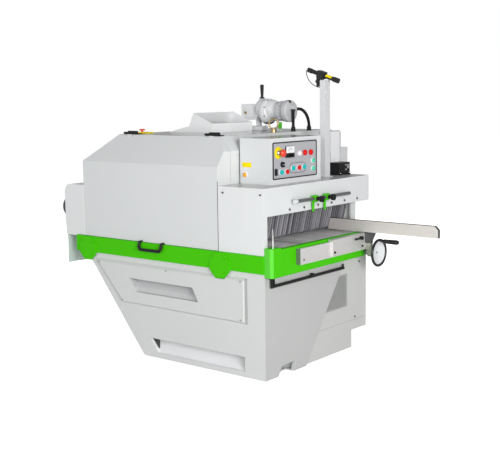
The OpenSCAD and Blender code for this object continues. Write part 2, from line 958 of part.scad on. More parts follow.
module saw_arbor() {
    color(bare_steel) {
        rod_y([bearing_y[0] - 14, pulley_y[1]], arbor_x, arbor_z, arbor_d);
        rod_y([-90, 290], arbor_x, arbor_z, 62);
        rod_y([-90, -60], arbor_x, arbor_z, 90);
        rod_y([262, 290], arbor_x, arbor_z, 90);
    }
    color(dark_steel)
    difference() {
        rod_y(pulley_y, arbor_x, arbor_z, 2 * pulley_r);
        rod_y([pulley_y[1] - 12, pulley_y[1] + 1], arbor_x, arbor_z, 110);
    }
}

module saw_blades() {
    teeth = 24;
    body_r = blade_d / 2 - 8;
    color(bare_steel)
    for (i = [0 : blade_count - 1])
        along_y([blade_y(i) - 2, blade_y(i) + 2])
            translate([arbor_x, arbor_z])
                difference() {
                    union() {
                        circle(r = body_r);
                        for (k = [0 : teeth - 1])
                            rotate(k * 360 / teeth)
                                translate([body_r - 4, -7])
                                    polygon([[0, 0], [11, 4], [11, 9], [0, 14]]);
                    }
                    circle(d = 62.6);
                }
}

// Motor rotor shaft with its pulley
module motor_pulley() {
    color(bare_steel)
    rod_y([700, pulley_y[1]], motor_x, motor_z, 60);
    color(dark_steel)
    difference() {
        rod_y(pulley_y, motor_x, motor_z, 2 * pulley_r);
        rod_y([pulley_y[1] - 12, pulley_y[1] + 1], motor_x, motor_z, 110);
    }
}

module main_motor() {
    motor_y = [240, 740];
    color(panel_grey)
    difference() {
        union() {
            rod_y([motor_y[0] + 60, motor_y[1] - 30], motor_x, motor_z, motor_d - 30);
            rod_y([motor_y[0], motor_y[0] + 70], motor_x, motor_z, motor_d - 14);
            rod_y([motor_y[1] - 40, motor_y[1]], motor_x, motor_z, motor_d - 40);
            for (a = [0 : 15 : 345])
                translate([motor_x, 0, motor_z])
                    rotate([0, a, 0])
                        block([-2.5, 2.5], [motor_y[0] + 60, motor_y[1] - 50], [120, motor_d / 2]);
            for (side = [-1, 1])
                block([motor_x + side * 95 - 40, motor_x + side * 95 + 40], [255, 305],
                    [foot_gap + sheet, motor_z - 60]);
        }
        rod_y([690, motor_y[1] + 1], motor_x, motor_z, 60 + 2 * play);
    }
}

// Three belts between the pulleys
module drive_belts() {
    module loop(r) {
        for (z = [motor_z, arbor_z])
            translate([motor_x, z]) circle(r = r);
        translate([motor_x - r, motor_z]) square([2 * r, arbor_z - motor_z]);
    }
    color(black_part)
    for (i = [0 : 2])
        along_y([pulley_y[0] + 6 + i * 17, pulley_y[0] + 19 + i * 17])
            difference() {
                loop(pulley_r + 10);
                loop(pulley_r + gap);
            }
}

// Brackets inside the housing: arbor bearings and roller arms, all hanging from the roof
roller_x = [20, -640];
roller_d = 90;
roller_z = table_h + 6 + roller_d / 2;
roller_arm_y = [chain_y[0] - 24, chain_y[1] + 10];

module inner_supports() {
    top = roof_h - sheet;
    color(dark_steel)
    for (y = bearing_y)
        difference() {
            union() {
                block([arbor_x - 55, arbor_x + 55], [y, y + bearing_w], [arbor_z, top]);
                rod_y([y, y + bearing_w], arbor_x, arbor_z, 110);
            }
            rod_y([y - 1, y + bearing_w + 1], arbor_x, arbor_z, arbor_d + 2 * play);
        }
    color(dark_steel)
    for (x = roller_x, y = roller_arm_y)
        difference() {
            block([x - 22, x + 22], [y, y + 14], [roller_z - 22, top]);
            rod_y([y - 1, y + 15], x, roller_z, 25 + 2 * play);
        }
}

module pressure_roller(x) {
    color(dark_steel)
    rod_y([chain_y[0], chain_y[1]], x, roller_z, roller_d);
    color(bare_steel)
    rod_y([roller_arm_y[0], roller_arm_y[1] + 14], x, roller_z, 25);
}

module infeed_roller() {
    pressure_roller(roller_x[0]);
}

module outfeed_roller() {
    pressure_roller(roller_x[1]);
}

// Belt guard on the far side: lower box beside the cabinet, upper box beside the housing
guard_y = over_y + 88;

module belt_guard() {
    wall = 4;
    low_x = [motor_x - 190, motor_x + 190];
    high_x = [motor_x - 230, hood_in_x];
    low_z = [140, band_top - gap];
    high_z = [band_top, 1338];
    color(white_paint)
    difference() {
        union() {
            block(low_x, [far_y + gap, guard_y], low_z);
            block(high_x, [over_y + gap, guard_y], high_z);
            block(low_x, [over_y + gap, guard_y], [low_z[1] - 1, high_z[0] + 1]);
        }
        block([low_x[0] + wall, low_x[1] - wall], [far_y, guard_y - wall],
            [low_z[0] + wall, low_z[1] - wall]);
        block([high_x[0] + wall, high_x[1] - wall], [over_y, guard_y - wall],
            [high_z[0] + wall, high_z[1] - wall]);
        block([low_x[0] + wall, low_x[1] - wall], [over_y + wall, guard_y - wall],
            [low_z[1] - 40, high_z[0] + 40]);
        // room for the green band and its shaft cover
        block([low_x[0] - 1, low_x[1] + 1], [far_y, far_y + band_proud + 10], [base_h - gap, band_top + 1]);
    }
}

// Dust chute on the roof: sloping mouth that faces the infeed, ramp behind it
module dust_chute() {
    ramp_x = -706;
    back_z = [1514, 1603];
    back_top_x = -466;
    front_z = 1531;
    wall = 3;
    low = roof_h + 0.1;
    color(white_paint)
    difference() {
        along_y(chute_y)
            polygon([
                [ramp_x, low],
                [chute_x[0], back_z[0]],
                [back_top_x, back_z[1]],
                [chute_x[1], front_z],
                [chute_x[1], low]
            ]);
        along_y([chute_y[0] + wall, chute_y[1] - wall])
            polygon([
                [chute_x[0] + wall + 2, low - 1],
                [chute_x[0] + wall + 2, back_z[0]],
                [back_top_x + wall + 14, back_z[1] + 24],
                [chute_x[1] - wall, front_z + 40],
                [chute_x[1] - wall, low - 1]
            ]);
        along_y([chute_y[0] + wall, chute_y[1] - wall])
            polygon([
                [ramp_x + 26, low - 1],
                [chute_x[0] - wall, back_z[0] - wall],
                [chute_x[0] - wall, low - 1]
            ]);
    }
}

// Outfeed hood with a rounded shoulder and a round dust spigot
fender_x = -1260;
fender_z = [763, 1120];
spigot_y = -488;
spigot_z = 952;
spigot_r = 75;
spigot_l = 50;
exit_y = [-340, 440];

module fender_side(inset) {
    r = 58;
    out = fender_x + inset;
    top = fender_z[1] - inset;
    translate([out, fender_z[0] - (inset > 0 ? 1 : 0)])
        square([hood_out_x - gap - out + inset, top - r - fender_z[0] + 1]);
    translate([out + r, top - r - 1])
        square([hood_out_x - gap - out - r + inset, r + 1]);
    translate([out + r, top - r]) circle(r = r);
}

module outfeed_hood() {
    wall = 4;
    hood_y = [near_y, 572];
    color(white_paint)
    difference() {
        union() {
            difference() {
                along_y(hood_y) fender_side(0);
                along_y([hood_y[0] + wall, hood_y[1] - wall]) fender_side(wall);
            }
            rod_x([fender_x - spigot_l, fender_x + wall], spigot_y, spigot_z, 2 * spigot_r);
        }
        rod_x([fender_x - spigot_l - 1, fender_x + wall + 1], spigot_y, spigot_z, 2 * spigot_r - 4);
        // the bed runs under the hood
        block([bed_out_x - 2, hood_out_x], [near_y - 1, far_y], [fender_z[0] - 2, band_top + 2]);
        block([fender_x - 1, fender_x + wall + 1], exit_y, [fender_z[0] - 2, mouth_top]);
    }
}

// Overlapping strips that hang from a rail inside the outfeed hood
module strip_curtain() {
    strip_w = 100;
    strip_pitch = 95;
    strips = 12;
    strip_t = 3;
    strip_low = 558;
    side_top = 830;
    curtain_x = fender_x + 10;
    first_y = near_y + 6;
    exit_top = mouth_top + 12;
    // strips beside the exit are shorter than those across it
    tops = [for (i = [0 : strips - 1]) i > 1 && i < 11 ? exit_top : side_top];
    color([0.72, 0.86, 0.80])
    for (i = [0 : strips - 1])
        block([curtain_x + (i % 2) * 5, curtain_x + (i % 2) * 5 + strip_t],
            [first_y + i * strip_pitch, first_y + i * strip_pitch + strip_w], [strip_low, tops[i]]);
    color(bare_steel) {
        block([curtain_x - 5, curtain_x + 16], [near_y + 4.1, first_y + 2 * strip_pitch - 1],
            [side_top - 4, side_top + 16]);
        block([curtain_x - 5, curtain_x + 16], [first_y + 2 * strip_pitch, first_y + 10 * strip_pitch + strip_w],
            [exit_top - 4, exit_top + 16]);
        block([curtain_x - 5, curtain_x + 16], [first_y + 11 * strip_pitch + 6, 567.9],
            [side_top - 4, side_top + 16]);
    }
}

// Control box on the infeed hood
box_x = [173, 421];
box_y = [-383, -383 + box_w];
box_z = [infeed_top, infeed_top + box_h];
panel_y = [box_y[0] + 8, 88];
panel_z = [1205, 1430];
panel_x = box_x[1] + 3;

module control_box() {
    color(white_paint)
    difference() {
        block(box_x, box_y, [box_z[0] + 0.1, box_z[1]]);
        block([box_x[0] + sheet, box_x[1] - sheet], [box_y[0] + sheet, box_y[1] - sheet],
            [box_z[0] + sheet, box_z[1] - sheet]);
        block([box_x[1] - 20, box_x[1] + 1], [panel_y[0] + 4, panel_y[1] - 4],
            [panel_z[0] + 10, panel_z[1] - 10]);
    }
}

// Places of the controls on the panel as Y and Z
stop_at = [-322, 1367];
meter_at = [-204, 1367];
lamp_at = [[-104, 1354], [-45, 1355], [20, 1354], [44, 1300], [44, 1249]];
start_at = [-298, 1247];
halt_at = [-239, 1247];
up_at = [-176, 1264];
pause_at = [-114, 1264];
down_at = [-58, 1266];
selector_at = [-283, 1293];
rocker_at = [-345, 1249];
push_d = 16;

module panel_plate() {
    color(panel_grey)
    difference() {
        block([box_x[1], panel_x], panel_y, panel_z);
        for (at = [start_at, halt_at, up_at, pause_at, down_at, selector_at, stop_at])
            rod_x([box_x[1] - 1, panel_x + 1], at[0], at[1], push_d + 2 * play);
        block([box_x[1] - 1, panel_x + 1], [rocker_at[0] - 10, rocker_at[0] + 10],
            [rocker_at[1] - 17, rocker_at[1] + 17]);
    }
}

// Meter, panel lamps and the amber lamp on the near side of the box
module panel_indicators() {
    color(black_part)
    block([panel_x + 0.05, panel_x + 16], [meter_at[0] - 44, meter_at[0] + 44],
        [meter_at[1] - 35, meter_at[1] + 35]);
    color(signal_red)
    for (at = lamp_at) {
        rod_x([panel_x + 0.05, panel_x + 8], at[0], at[1], button_d + 2);
        translate([panel_x + 6, at[0], at[1]])
            rotate([0, 90, 0])
                cylinder(h = 12, d1 = button_d, d2 = button_d - 8);
    }
    color(signal_yellow)
    rod_y([box_y[0] - 16, box_y[0] - 0.05], 215, 1229, 26);
    // yellow ring round the emergency stop
    color(signal_yellow)
    difference() {
        rod_x([panel_x + 0.05, panel_x + 3], stop_at[0], stop_at[1], 74);
        rod_x([panel_x - 1, panel_x + 4], stop_at[0], stop_at[1], 30);
    }
    // bezel that carries the rocker
    color(black_part)
    difference() {
        block([panel_x + 0.05, panel_x + 4], [rocker_at[0] - 14, rocker_at[0] + 14],
            [rocker_at[1] - 22, rocker_at[1] + 22]);
        block([panel_x - 1, panel_x + 5], [rocker_at[0] - 10, rocker_at[0] + 10],
            [rocker_at[1] - 17, rocker_at[1] + 17]);
        rod_y([rocker_at[0] - 13, rocker_at[0] + 13], panel_x + 2, rocker_at[1], 2.5 + 2 * play);
    }
}

// A push button with its stem through the panel
module push_button(at, tint) {
    color(tint) {
        rod_x([panel_x + 5, panel_x + 14], at[0], at[1], button_d);
        rod_x([box_x[1] - 18, panel_x + 6], at[0], at[1], push_d);
    }
}

module start_button() {
    push_button(start_at, button_green);
}

module halt_button() {
    push_button(halt_at, signal_red);
}

module up_button() {
    push_button(up_at, button_green);
}

module pause_button() {
    push_button(pause_at, signal_red);
}

module down_button() {
    push_button(down_at, button_green);
}

module selector_knob() {
    color(black_part) {
        rod_x([panel_x + gap, panel_x + 10], selector_at[0], selector_at[1], 34);
        rod_x([box_x[1] - 18, panel_x + 2], selector_at[0], selector_at[1], push_d);
        block([panel_x + 9, panel_x + 22], [selector_at[0] - 4, selector_at[0] + 4],
            [selector_at[1] - 14, selector_at[1] + 14]);
    }
}

module rocker_switch() {
    color(black_part)
    translate([panel_x, rocker_at[0], rocker_at[1]]) {
        rod_y([-12, 12], 2, 0, 2.5);
        along_y([-9, 9])
            polygon([[-6, -8], [3, -15], [8, -14], [5, 0], [8, 14], [3, 15], [-6, 8]]);
    }
}

// Emergency stop: mushroom head on a stem, pushed along X
module panel_stop() {
    color(signal_red)
    translate([panel_x, stop_at[0], stop_at[1]])
        rotate([0, 90, 0])
            rotate_extrude()
                polygon([
                    [0, -16],
                    [push_d / 2, -16],
                    [push_d / 2, 10],
                    [12, 20],
                    [16, 34],
                    [24, 38],
                    [24, 45],
                    [15, 52],
                    [0, 53]
                ]);
}

// Roof emergency stop on its low yellow plate
roof_stop_at = [-800, -262];
stop_box_h = 8;

module stop_box() {
    color(signal_yellow)
    difference() {
        block([roof_stop_at[0] - 26, roof_stop_at[0] + 76], [roof_stop_at[1] - 32, roof_stop_at[1] + 32],
            [roof_h + 0.1, roof_h + stop_box_h]);
        rod_z([roof_h - 1, roof_h + stop_box_h + 1], roof_stop_at[0], roof_stop_at[1], push_d + 2 * play);
    }
}

module roof_stop() {
    color(signal_red)
    translate([roof_stop_at[0], roof_stop_at[1], roof_h + stop_box_h])
        rotate_extrude()
            polygon([
                [0, -14],
                [push_d / 2, -14],
                [push_d / 2, 9],
                [21, 10],
                [21, 16],
                [13, 20],
                [0, 21]
            ]);
}

// Laser post, laser with its clamp and ball joint, and the power supply
post_x = [333, 375];
post_y = [262, 318];
laser_y = 288;
laser_turn = 18;
laser_mid = [344, 1842];

module laser_post() {
    top = infeed_top + post_h;
    color(white_paint)
    difference() {
        block(post_x, post_y, [infeed_top + 0.1, top]);
        block([post_x[0] + 3, post_x[1] - 3], [post_y[0] + 3, post_y[1] - 3], [infeed_top - 1, top - 3]);
    }
    color(white_paint)
    block([post_x[0] - 14, post_x[1] + 14], [post_y[0] - 14, post_y[1] + 14],
        [infeed_top + 0.1, infeed_top + 5]);
}

// Lead from the laser's tail back to the post, a curve bent by four guide points
lead_d = 4;
laser_tail = -128;
tail_dir = [-cos(laser_turn), 0, sin(laser_turn)];
tail_end = [laser_mid[0], laser_y, laser_mid[1]] + (0.2 - laser_tail) * tail_dir;
lead_guides = [tail_end, tail_end + 36 * tail_dir, [206, laser_y, 1770], [post_x[0] - 0.2, laser_y, 1762]];

function lead_path(t) =
    pow(1 - t, 3) * lead_guides[0] + 3 * t * pow(1 - t, 2) * lead_guides[1]
    + 3 * t * t * (1 - t) * lead_guides[2] + pow(t, 3) * lead_guides[3];

function unit(v) = v / norm(v);

// Direction of a route at point i
function route_dir(p, i) =
    i == 0 ? unit(p[1] - p[0])
    : i == len(p) - 1 ? unit(p[i] - p[i - 1])
    : unit(p[i + 1] - p[i - 1]);

// Ring of points round a route point; side is square to the plane of the route
function ring(centre, dir, side, r, sides) =
    let (up = cross(dir, side))
    [for (k = [0 : sides - 1])
        centre + r * (cos(k * 360 / sides) * side + sin(k * 360 / sides) * up)];

// Triangles between ring a and ring b of a tube
function ring_faces(a, b, sides) = [
    for (k = [0 : sides - 1], half = [0, 1])
        let (n = (k + 1) % sides)
        half == 0 ? [a + k, b + k, b + n] : [a + k, b + n, a + n]
];

module lead(route, d) {
    sides = 8;
    last = len(route) - 1;
    points = [for (i = [0 : last]) each ring(route[i], route_dir(route, i), [0, 1, 0], d / 2, sides)];
    walls = [for (i = [0 : last - 1]) each ring_faces(i * sides, (i + 1) * sides, sides)];
    caps = [
        for (k = [1 : sides - 2]) each [
            [0, k, k + 1],
            [last * sides, last * sides + k + 1, last * sides + k]
        ]
    ];
    polyhedron(points, concat(walls, caps));
}

module laser_unit() {
    nose = 126;
    post_top = infeed_top + post_h;
    color(black_part) {
        translate([laser_mid[0], laser_y, laser_mid[1]])
            rotate([0, laser_turn, 0]) {
                rod_x([laser_tail, nose], 0, 0, 28);
                rod_x([nose - 40, nose], 0, 0, 34);
                rod_x([laser_tail, laser_tail + 34], 0, 0, 32);
                block([-40, 12], [-23, 23], [-22, 24]);
            }
        block([post_x[0] - 32, post_x[0] - gap], [laser_y - 20, laser_y + 20],
            [post_top - 42, post_top + 22]);
        rod_y([post_y[0] - 4, post_y[1] + 4], post_x[0] - 18, post_top - 8, 30);
    }
}

module laser_supply() {
    supply_x = [296, 372];
    supply_y = [430, 566];
    low = infeed_top + 0.1;
    color(black_part)
    block(supply_x, supply_y, [low + 10, low + 84]);
    color(black_part)
    for (y = [supply_y[0] + 6, supply_y[1] - 26])
        block([supply_x[0] - 10, supply_x[1] + 10], [y, y + 20], [low, low + 11]);
}

// Gear unit on the roof: pedestal, gearbox block, round variator body, link to the motor
gear_y = 390;
variator_z = 1618;
variator_x = [-279, -125];
gearbox_x = [-394, -255];
crank_at = [-250, gear_y];

module gear_unit() {
    crank_z = variator_z + 77;
    foot = roof_h + 0.1;
    color(panel_grey)
    difference() {
        union() {
            block(gearbox_x, [gear_y - 56, gear_y + 56], [1562, 1656]);
            rod_y([gear_y - 58, gear_y - 50], gearbox_x[0] + 62, 1609, 76);
            translate([variator_x[0], gear_y, variator_z])
                rotate([0, 90, 0])
                    rotate_extrude()
                        polygon([
                            [0, 0],
                            [50, 0],
                            [66, 16],
                            [72, 28],
                            [76, 44],
                            [76, 100],
                            [70, 103],
                            [68, 128],
                            [60, 154],
                            [0, 154]
                        ]);
            rod_x([variator_x[1] - 1, gear_motor_x[0]], gear_y, gear_motor_z, 112);
            rod_z([variator_z, crank_z], crank_at[0], crank_at[1], 46);
            block([-325, -235], [gear_y - 25, gear_y + 25], [foot, foot + 13]);
            block([-294, -266], [gear_y - 15, gear_y + 15], [foot + 10, variator_z - 40]);
            block([-99, -63], [gear_y - 30, gear_y - 18], [foot, 1530]);
            block([-99, -87], [gear_y - 30, gear_y - 18], [1525, 1562]);
        }
        rod_z([variator_z + 40, crank_z + 1], crank_at[0], crank_at[1], 16 + 2 * play);
    }
}

// Crank of the gear unit with its upright grip
module gear_crank() {
    hub_z = variator_z + 77 + gap;
    reach = 28;
    color(black_part)
    translate([crank_at[0], crank_at[1], 0])
        rotate([0, 0, -52]) {
            rod_z([variator_z + 44, hub_z + 2], 0, 0, 16);
            rod_z([hub_z, hub_z + 9], 0, 0, 34);
            block([0, reach], [-9, 9], [hub_z, hub_z + 8]);
            translate([reach, 0, hub_z])
                rotate_extrude()
                    polygon([[0, 0], [11, 0], [9, 10], [10, 22], [13.5, 88], [10, 96], [0, 97]]);
        }
}

// Finned motor of the gear unit with its end cover and cable box
gear_motor_x = [-85, 8];
gear_motor_z = 1606;

module gear_motor() {
    color(panel_grey) {
        rod_x([gear_motor_x[0] + gap, gear_motor_x[0] + 16], gear_y, gear_motor_z, 140);
        rod_x([gear_motor_x[0] + 14, gear_motor_x[1] - 36], gear_y, gear_motor_z, 126);
        translate([gear_motor_x[1] - 38, gear_y, gear_motor_z])
            rotate([0, 90, 0])
                rotate_extrude()
                    polygon([[0, 0], [76, 0], [76, 28], [73, 34], [66, 38], [0, 38]]);
        for (a = [0 : 20 : 340])
            translate([0, gear_y, gear_motor_z])
                rotate([a, 0, 0])
                    block([gear_motor_x[0] + 15, gear_motor_x[1] - 37], [-1.5, 1.5], [58, 71]);
        block([gear_motor_x[1] - 1, drop_at[0] + 13], [drop_at[1] - 14, bend_y[0]], [drop_z[1], 1648]);
        block([gear_motor_x[1] - 1, drop_at[0] + 13], [drop_at[1] + 14, bend_y[0]], [1604, 1648]);
    }
}

// Ribbed conduits, one straight and one bent over in a quarter circle, and the laser's lead
conduit_d = 22;
conduit_bore = 15;
rib_pitch = 4.4;
gland_h = 22;
drop_at = [24, 386];
drop_z = [roof_h + gland_h, 1620];
bend_r = 125;
bend_x = 24;
bend_y = [412, 575];
bend_top = 1620;

// Centre of the straight conduit at a distance from its top
function drop_path(s) = [drop_at[0], drop_at[1], drop_z[1] - s];

// Centre of the bent conduit at a distance from its start: level run, quarter circle, drop
bend_run = bend_y[1] - bend_r - bend_y[0];
bend_drop = bend_top - bend_r - drop_z[0];
bend_l = bend_run + bend_r * PI / 2 + bend_drop;

function bend_path(s) =
    s < bend_run
        ? [bend_x, bend_y[0] + s, bend_top]
        : s < bend_run + bend_r * PI / 2
            ? let (a = (s - bend_run) / bend_r * 180 / PI)
                [bend_x, bend_y[0] + bend_run + bend_r * sin(a), bend_top - bend_r * (1 - cos(a))]
            : [bend_x, bend_y[1], bend_top - bend_r - (s - bend_run - bend_r * PI / 2)];

// Tube with a ribbed outside and a plain bore along a list of outer and bore centres
module ribbed_tube(outer, inner) {
    sides = 8;
    side = [1, 0, 0];
    n = len(outer);
    m = len(inner);
    outside = [
        for (i = [0 : n - 1])
            each ring(outer[i], route_dir(outer, i), side, conduit_d / 2 - (i % 2) * 1.8, sides)
    ];
    inside = [for (i = [0 : m - 1]) each ring(inner[i], route_dir(inner, i), side, conduit_bore / 2, sides)];
    first_in = n * sides;
    last_in = (n + m - 1) * sides;
    faces = concat(
        [for (i = [0 : n - 2]) each ring_faces(i * sides, (i + 1) * sides, sides)],
        [for (i = [0 : m - 2]) each ring_faces(first_in + (i + 1) * sides, first_in + i * sides, sides)],
        ring_faces(first_in, 0, sides),
        ring_faces((n - 1) * sides, last_in, sides)
    );
    polyhedron(concat(outside, inside), faces);
}

// Gland where a conduit meets the roof
module gland(at) {
    difference() {
        union() {
            translate([at[0], at[1], roof_h + 0.1])
                cylinder(h = 9, d = 34, $fn = 6);
            rod_z([roof_h + 8, roof_h + gland_h + 10], at[0], at[1], 30);
        }
        rod_z([roof_h, roof_h + gland_h + 11], at[0], at[1], conduit_d + 2 * gap);
    }
}

module conduits() {
    drop_l = drop_z[1] - drop_z[0];
    drop_rings = 2 * floor(drop_l / rib_pitch);
    bend_rings = 2 * floor(bend_l / rib_pitch);
    bore_rings = 16;
    lead_rings = 20;
    color(black_part) {
        ribbed_tube(
            [for (i = [0 : drop_rings]) drop_path(i * drop_l / drop_rings)],
            [for (i = [0 : 1]) drop_path(i * drop_l)]
        );
        ribbed_tube(
            [for (i = [0 : bend_rings]) bend_path(i * bend_l / bend_rings)],
            [for (i = [0 : bore_rings]) bend_path(i * bend_l / bore_rings)]
        );
        gland(drop_at);
        gland([bend_x, bend_y[1]]);
        lead([for (i = [0 : lead_rings]) lead_path(i / lead_rings)], lead_d);
    }
}

// Lifting eye: collar, neck and ring, turned towards the near corner
module lifting_eye() {
    ring_r = 32;
    ring_d = 12;
    eye_at = [-77, 294];
    eye_z = roof_h + 52;
    color([0.78, 0.62, 0.32])
    translate([eye_at[0], eye_at[1], 0]) {
        rod_z([roof_h + 0.1, roof_h + 10], 0, 0, 44);
        rod_z([roof_h + 8, eye_z - ring_r], 0, 0, 24);
        translate([0, 0, eye_z])
            rotate([90, 0, 39])
                rotate_extrude()
                    translate([ring_r, 0]) circle(d = ring_d);
    }
}

// Socket head screws on the covers and the infeed hood
module cap_screw(head_d) {
    difference() {
        translate([0, 0, 0.05]) cylinder(h = 5, d = head_d);
        translate([0, 0, 2]) cylinder(h = 4, d = head_d * 0.55, $fn = 6);
    }
}

module screws() {
    cover_y = near_y - cover_proud;
    color(dark_steel) {
        for (at = [[-910, 602], [-280, 602], [340, 602], [340, 362], [-690, 362]])
            translate([at[0], cover_y, at[1]]) rotate([90, 0, 0]) cap_screw(11);
        for (x = [198, 488])
            translate([x, near_y, 1134]) rotate([90, 0, 0]) cap_screw(12);
        for (y = [-330, -178, -26, 126, 279, 432])
            translate([face_x, y, 1025]) rotate([0, 90, 0]) cap_screw(15);
        for (at = [[440, 209], [492, 585]])
            translate([face_x - face_step, at[0], at[1]]) rotate([0, 90, 0]) cap_screw(12);
    }
}

base_cabinet();
vent_panel();
side_cover();
levelling_feet();
bed_frame();
front_beam();
shaft_covers();
table_plates();
feed_chain();
main_housing();
infeed_hood();
belt_guard();
dust_chute();
outfeed_hood();
strip_curtain();
control_box();
panel_plate();
panel_indicators();
laser_post();
laser_unit();
laser_supply();
gear_unit();
gear_motor();
conduits();
lifting_eye();
stop_box();
hinge_leaves();
fence_rail();
guide_rods();
main_motor();
inner_supports();
drive_belts();
screws();
side_door();
door_fittings();
kickback_fingers();
saw_arbor();
saw_blades();
motor_pulley();
infeed_sprockets();
outfeed_sprockets();
infeed_roller();
outfeed_roller();
fence_bar();
fence_carriage();
handwheel();
clamp_lever();
near_pointer();
far_pointer();
trip_bar();
gear_crank();
panel_stop();
roof_stop();
start_button();
halt_button();
up_button();
pause_button();
down_button();
selector_knob();
rocker_switch();
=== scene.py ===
# %% [markdown]
# # A multi rip saw, dressed for its portrait
# The machine's solids come ready made from the construction step. This lesson gives every one of
# them a finish, and adds the small things that a solid model leaves out: ribbed conduits, a strip
# curtain, bezels, lamps, a meter, trims and screws. Everything is in metres, in one frame: +X is
# the infeed end, -Y the near side with the swing-up door, and +Z is up.

# %% Load the frame
import math

import bmesh
import bpy
import numpy as np
from mathutils import Matrix


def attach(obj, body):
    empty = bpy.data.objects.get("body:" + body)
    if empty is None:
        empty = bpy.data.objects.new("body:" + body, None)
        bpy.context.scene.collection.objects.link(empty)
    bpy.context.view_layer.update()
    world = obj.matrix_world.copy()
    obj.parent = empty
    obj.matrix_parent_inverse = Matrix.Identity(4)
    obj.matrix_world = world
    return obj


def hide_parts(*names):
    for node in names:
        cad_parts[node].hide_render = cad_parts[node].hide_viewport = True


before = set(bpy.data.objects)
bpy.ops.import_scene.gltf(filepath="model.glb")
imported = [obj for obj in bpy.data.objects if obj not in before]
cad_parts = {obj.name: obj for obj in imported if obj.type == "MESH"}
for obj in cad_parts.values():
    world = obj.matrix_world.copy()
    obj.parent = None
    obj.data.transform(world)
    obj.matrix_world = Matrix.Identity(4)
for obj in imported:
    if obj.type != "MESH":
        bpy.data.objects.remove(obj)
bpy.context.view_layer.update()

# %% [markdown]
# ## Camera
# A product photograph of a big machine is taken from standing height with a long lens. The place,
# direction and lens were worked out from edges whose real directions are known: the bed, the
# table and the uprights. A camera needs three directions, and the third follows from the other two.

# %% Camera
EYE = (3.9485, -4.9981, 1.7221)
turn = math.radians(51.26)
dip = math.radians(7.76)
roll = math.radians(-0.72)
look = np.array([-math.cos(turn) * math.cos(dip), math.sin(turn) * math.cos(dip), -math.sin(dip)])
level = np.cross(look, [0, 0, 1])
level = level / np.linalg.norm(level)
upright = np.cross(level, look)
right = math.cos(roll) * level + math.sin(roll) * upright
top = -math.sin(roll) * level + math.cos(roll) * upright


def placed(across, up, back, place):
    """A matrix whose columns are the three directions of a thing, and its place."""
    matrix = np.eye(4)
    matrix[:3] = np.stack([across, up, back, place], axis=1)
    return Matrix(matrix.tolist())


lens = bpy.data.cameras.new("photo_lens")
lens.lens = 68.84
lens.sensor_width = 36
lens.clip_end = 100
camera = bpy.data.objects.new("photo_camera", lens)
camera.matrix_world = placed(right, top, -look, EYE)
bpy.context.collection.objects.link(camera)
bpy.context.scene.camera = camera
print("camera looks along", look.round(3))

# %% [markdown]
# ## Surfaces from grids
# Each new piece is a function of two parameters, worked out for a whole grid of points at once.
# The grid's neighbours give the faces. Where a row of the grid shrinks to one point, as at the tip
# of a dome, the doubled points are merged, and the normals are then turned outwards.

# %% Faces and pieces
MERGE = 2e-6
SLIVER = 1e-7


def grid_faces(rows, columns, close_rows=False, close_columns=True):
    """Quads between neighbouring points of a grid; a closed direction joins its last line to its first."""
    r = np.arange(rows if close_rows else rows - 1)[:, None]
    c = np.arange(columns if close_columns else columns - 1)[None, :]
    r2, c2 = (r + 1) % rows, (c + 1) % columns
    corners = [r * columns + c, r * columns + c2, r2 * columns + c2, r2 * columns + c]
    return np.stack(corners, axis=-1).reshape(-1, 4)


def gather(parts):
    """One list of points and one of faces from several shapes: later faces count on from earlier points."""
    starts = np.cumsum([0] + [len(points) for points, _ in parts[:-1]])
    points = np.concatenate([points for points, _ in parts])
    faces = np.concatenate([faces + start for (_, faces), start in zip(parts, starts)])
    return points, faces


def make_piece(name, parts, material, body="frame", crease=35):
    """A mesh object at the origin from (points, faces) shapes, riding on a body of the machine."""
    points, faces = gather(parts)
    mesh = bpy.data.meshes.new(name)
    mesh.from_pydata(points.tolist(), [], faces.tolist())
    work = bmesh.new()
    work.from_mesh(mesh)
    bmesh.ops.remove_doubles(work, verts=work.verts, dist=MERGE)
    bmesh.ops.dissolve_degenerate(work, edges=work.edges, dist=SLIVER)
    bmesh.ops.recalc_face_normals(work, faces=work.faces)
    work.to_mesh(mesh)
    work.free()
    mesh.polygons.foreach_set("use_smooth", np.ones(len(mesh.polygons), dtype=bool))
    mesh.set_sharp_from_angle(angle=math.radians(crease))
    mesh.materials.append(material)
    piece = bpy.data.objects.new(name, mesh)
    bpy.context.collection.objects.link(piece)
    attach(piece, body)
    print("made", name, "with", len(mesh.polygons), "faces")
    return piece


print("points closer than", MERGE, "metres become one")

# %% [markdown]
# Most trims are turned on a lathe or cut from plate. A turned shape needs a profile and an axis; a
# plate needs its outline and the levels through which it rises. An axis is named by the way that it
# points, and stands for three directions: two across it and its own.

# %% Turned shapes and plates
TINY = 1e-5
AXES = {
    "+x": np.array([[0, 1, 0], [0, 0, 1], [1, 0, 0]], float),
    "-y": np.array([[1, 0, 0], [0, 0, 1], [0, -1, 0]], float),
    "+y": np.array([[-1, 0, 0], [0, 0, 1], [0, 1, 0]], float),
    "+z": np.array([[1, 0, 0], [0, 1, 0], [0, 0, 1]], float),
}


def turned(profile, base, axis, sides=40):
    """A profile of (radius, height) turned about an axis.

    A point is the base plus the height along the axis, plus the radius times cosine and sine across it.
    """
    profile = np.asarray(profile, float)
    across, along, out = AXES[axis]
    angle = np.linspace(0, 2 * math.pi, sides, endpoint=False)
    circle = np.cos(angle)[:, None] * across + np.sin(angle)[:, None] * along
    middle = np.asarray(base, float) + profile[:, 1, None, None] * out
    points = middle + profile[:, 0, None, None] * circle
    return points.reshape(-1, 3), grid_faces(len(profile), sides)


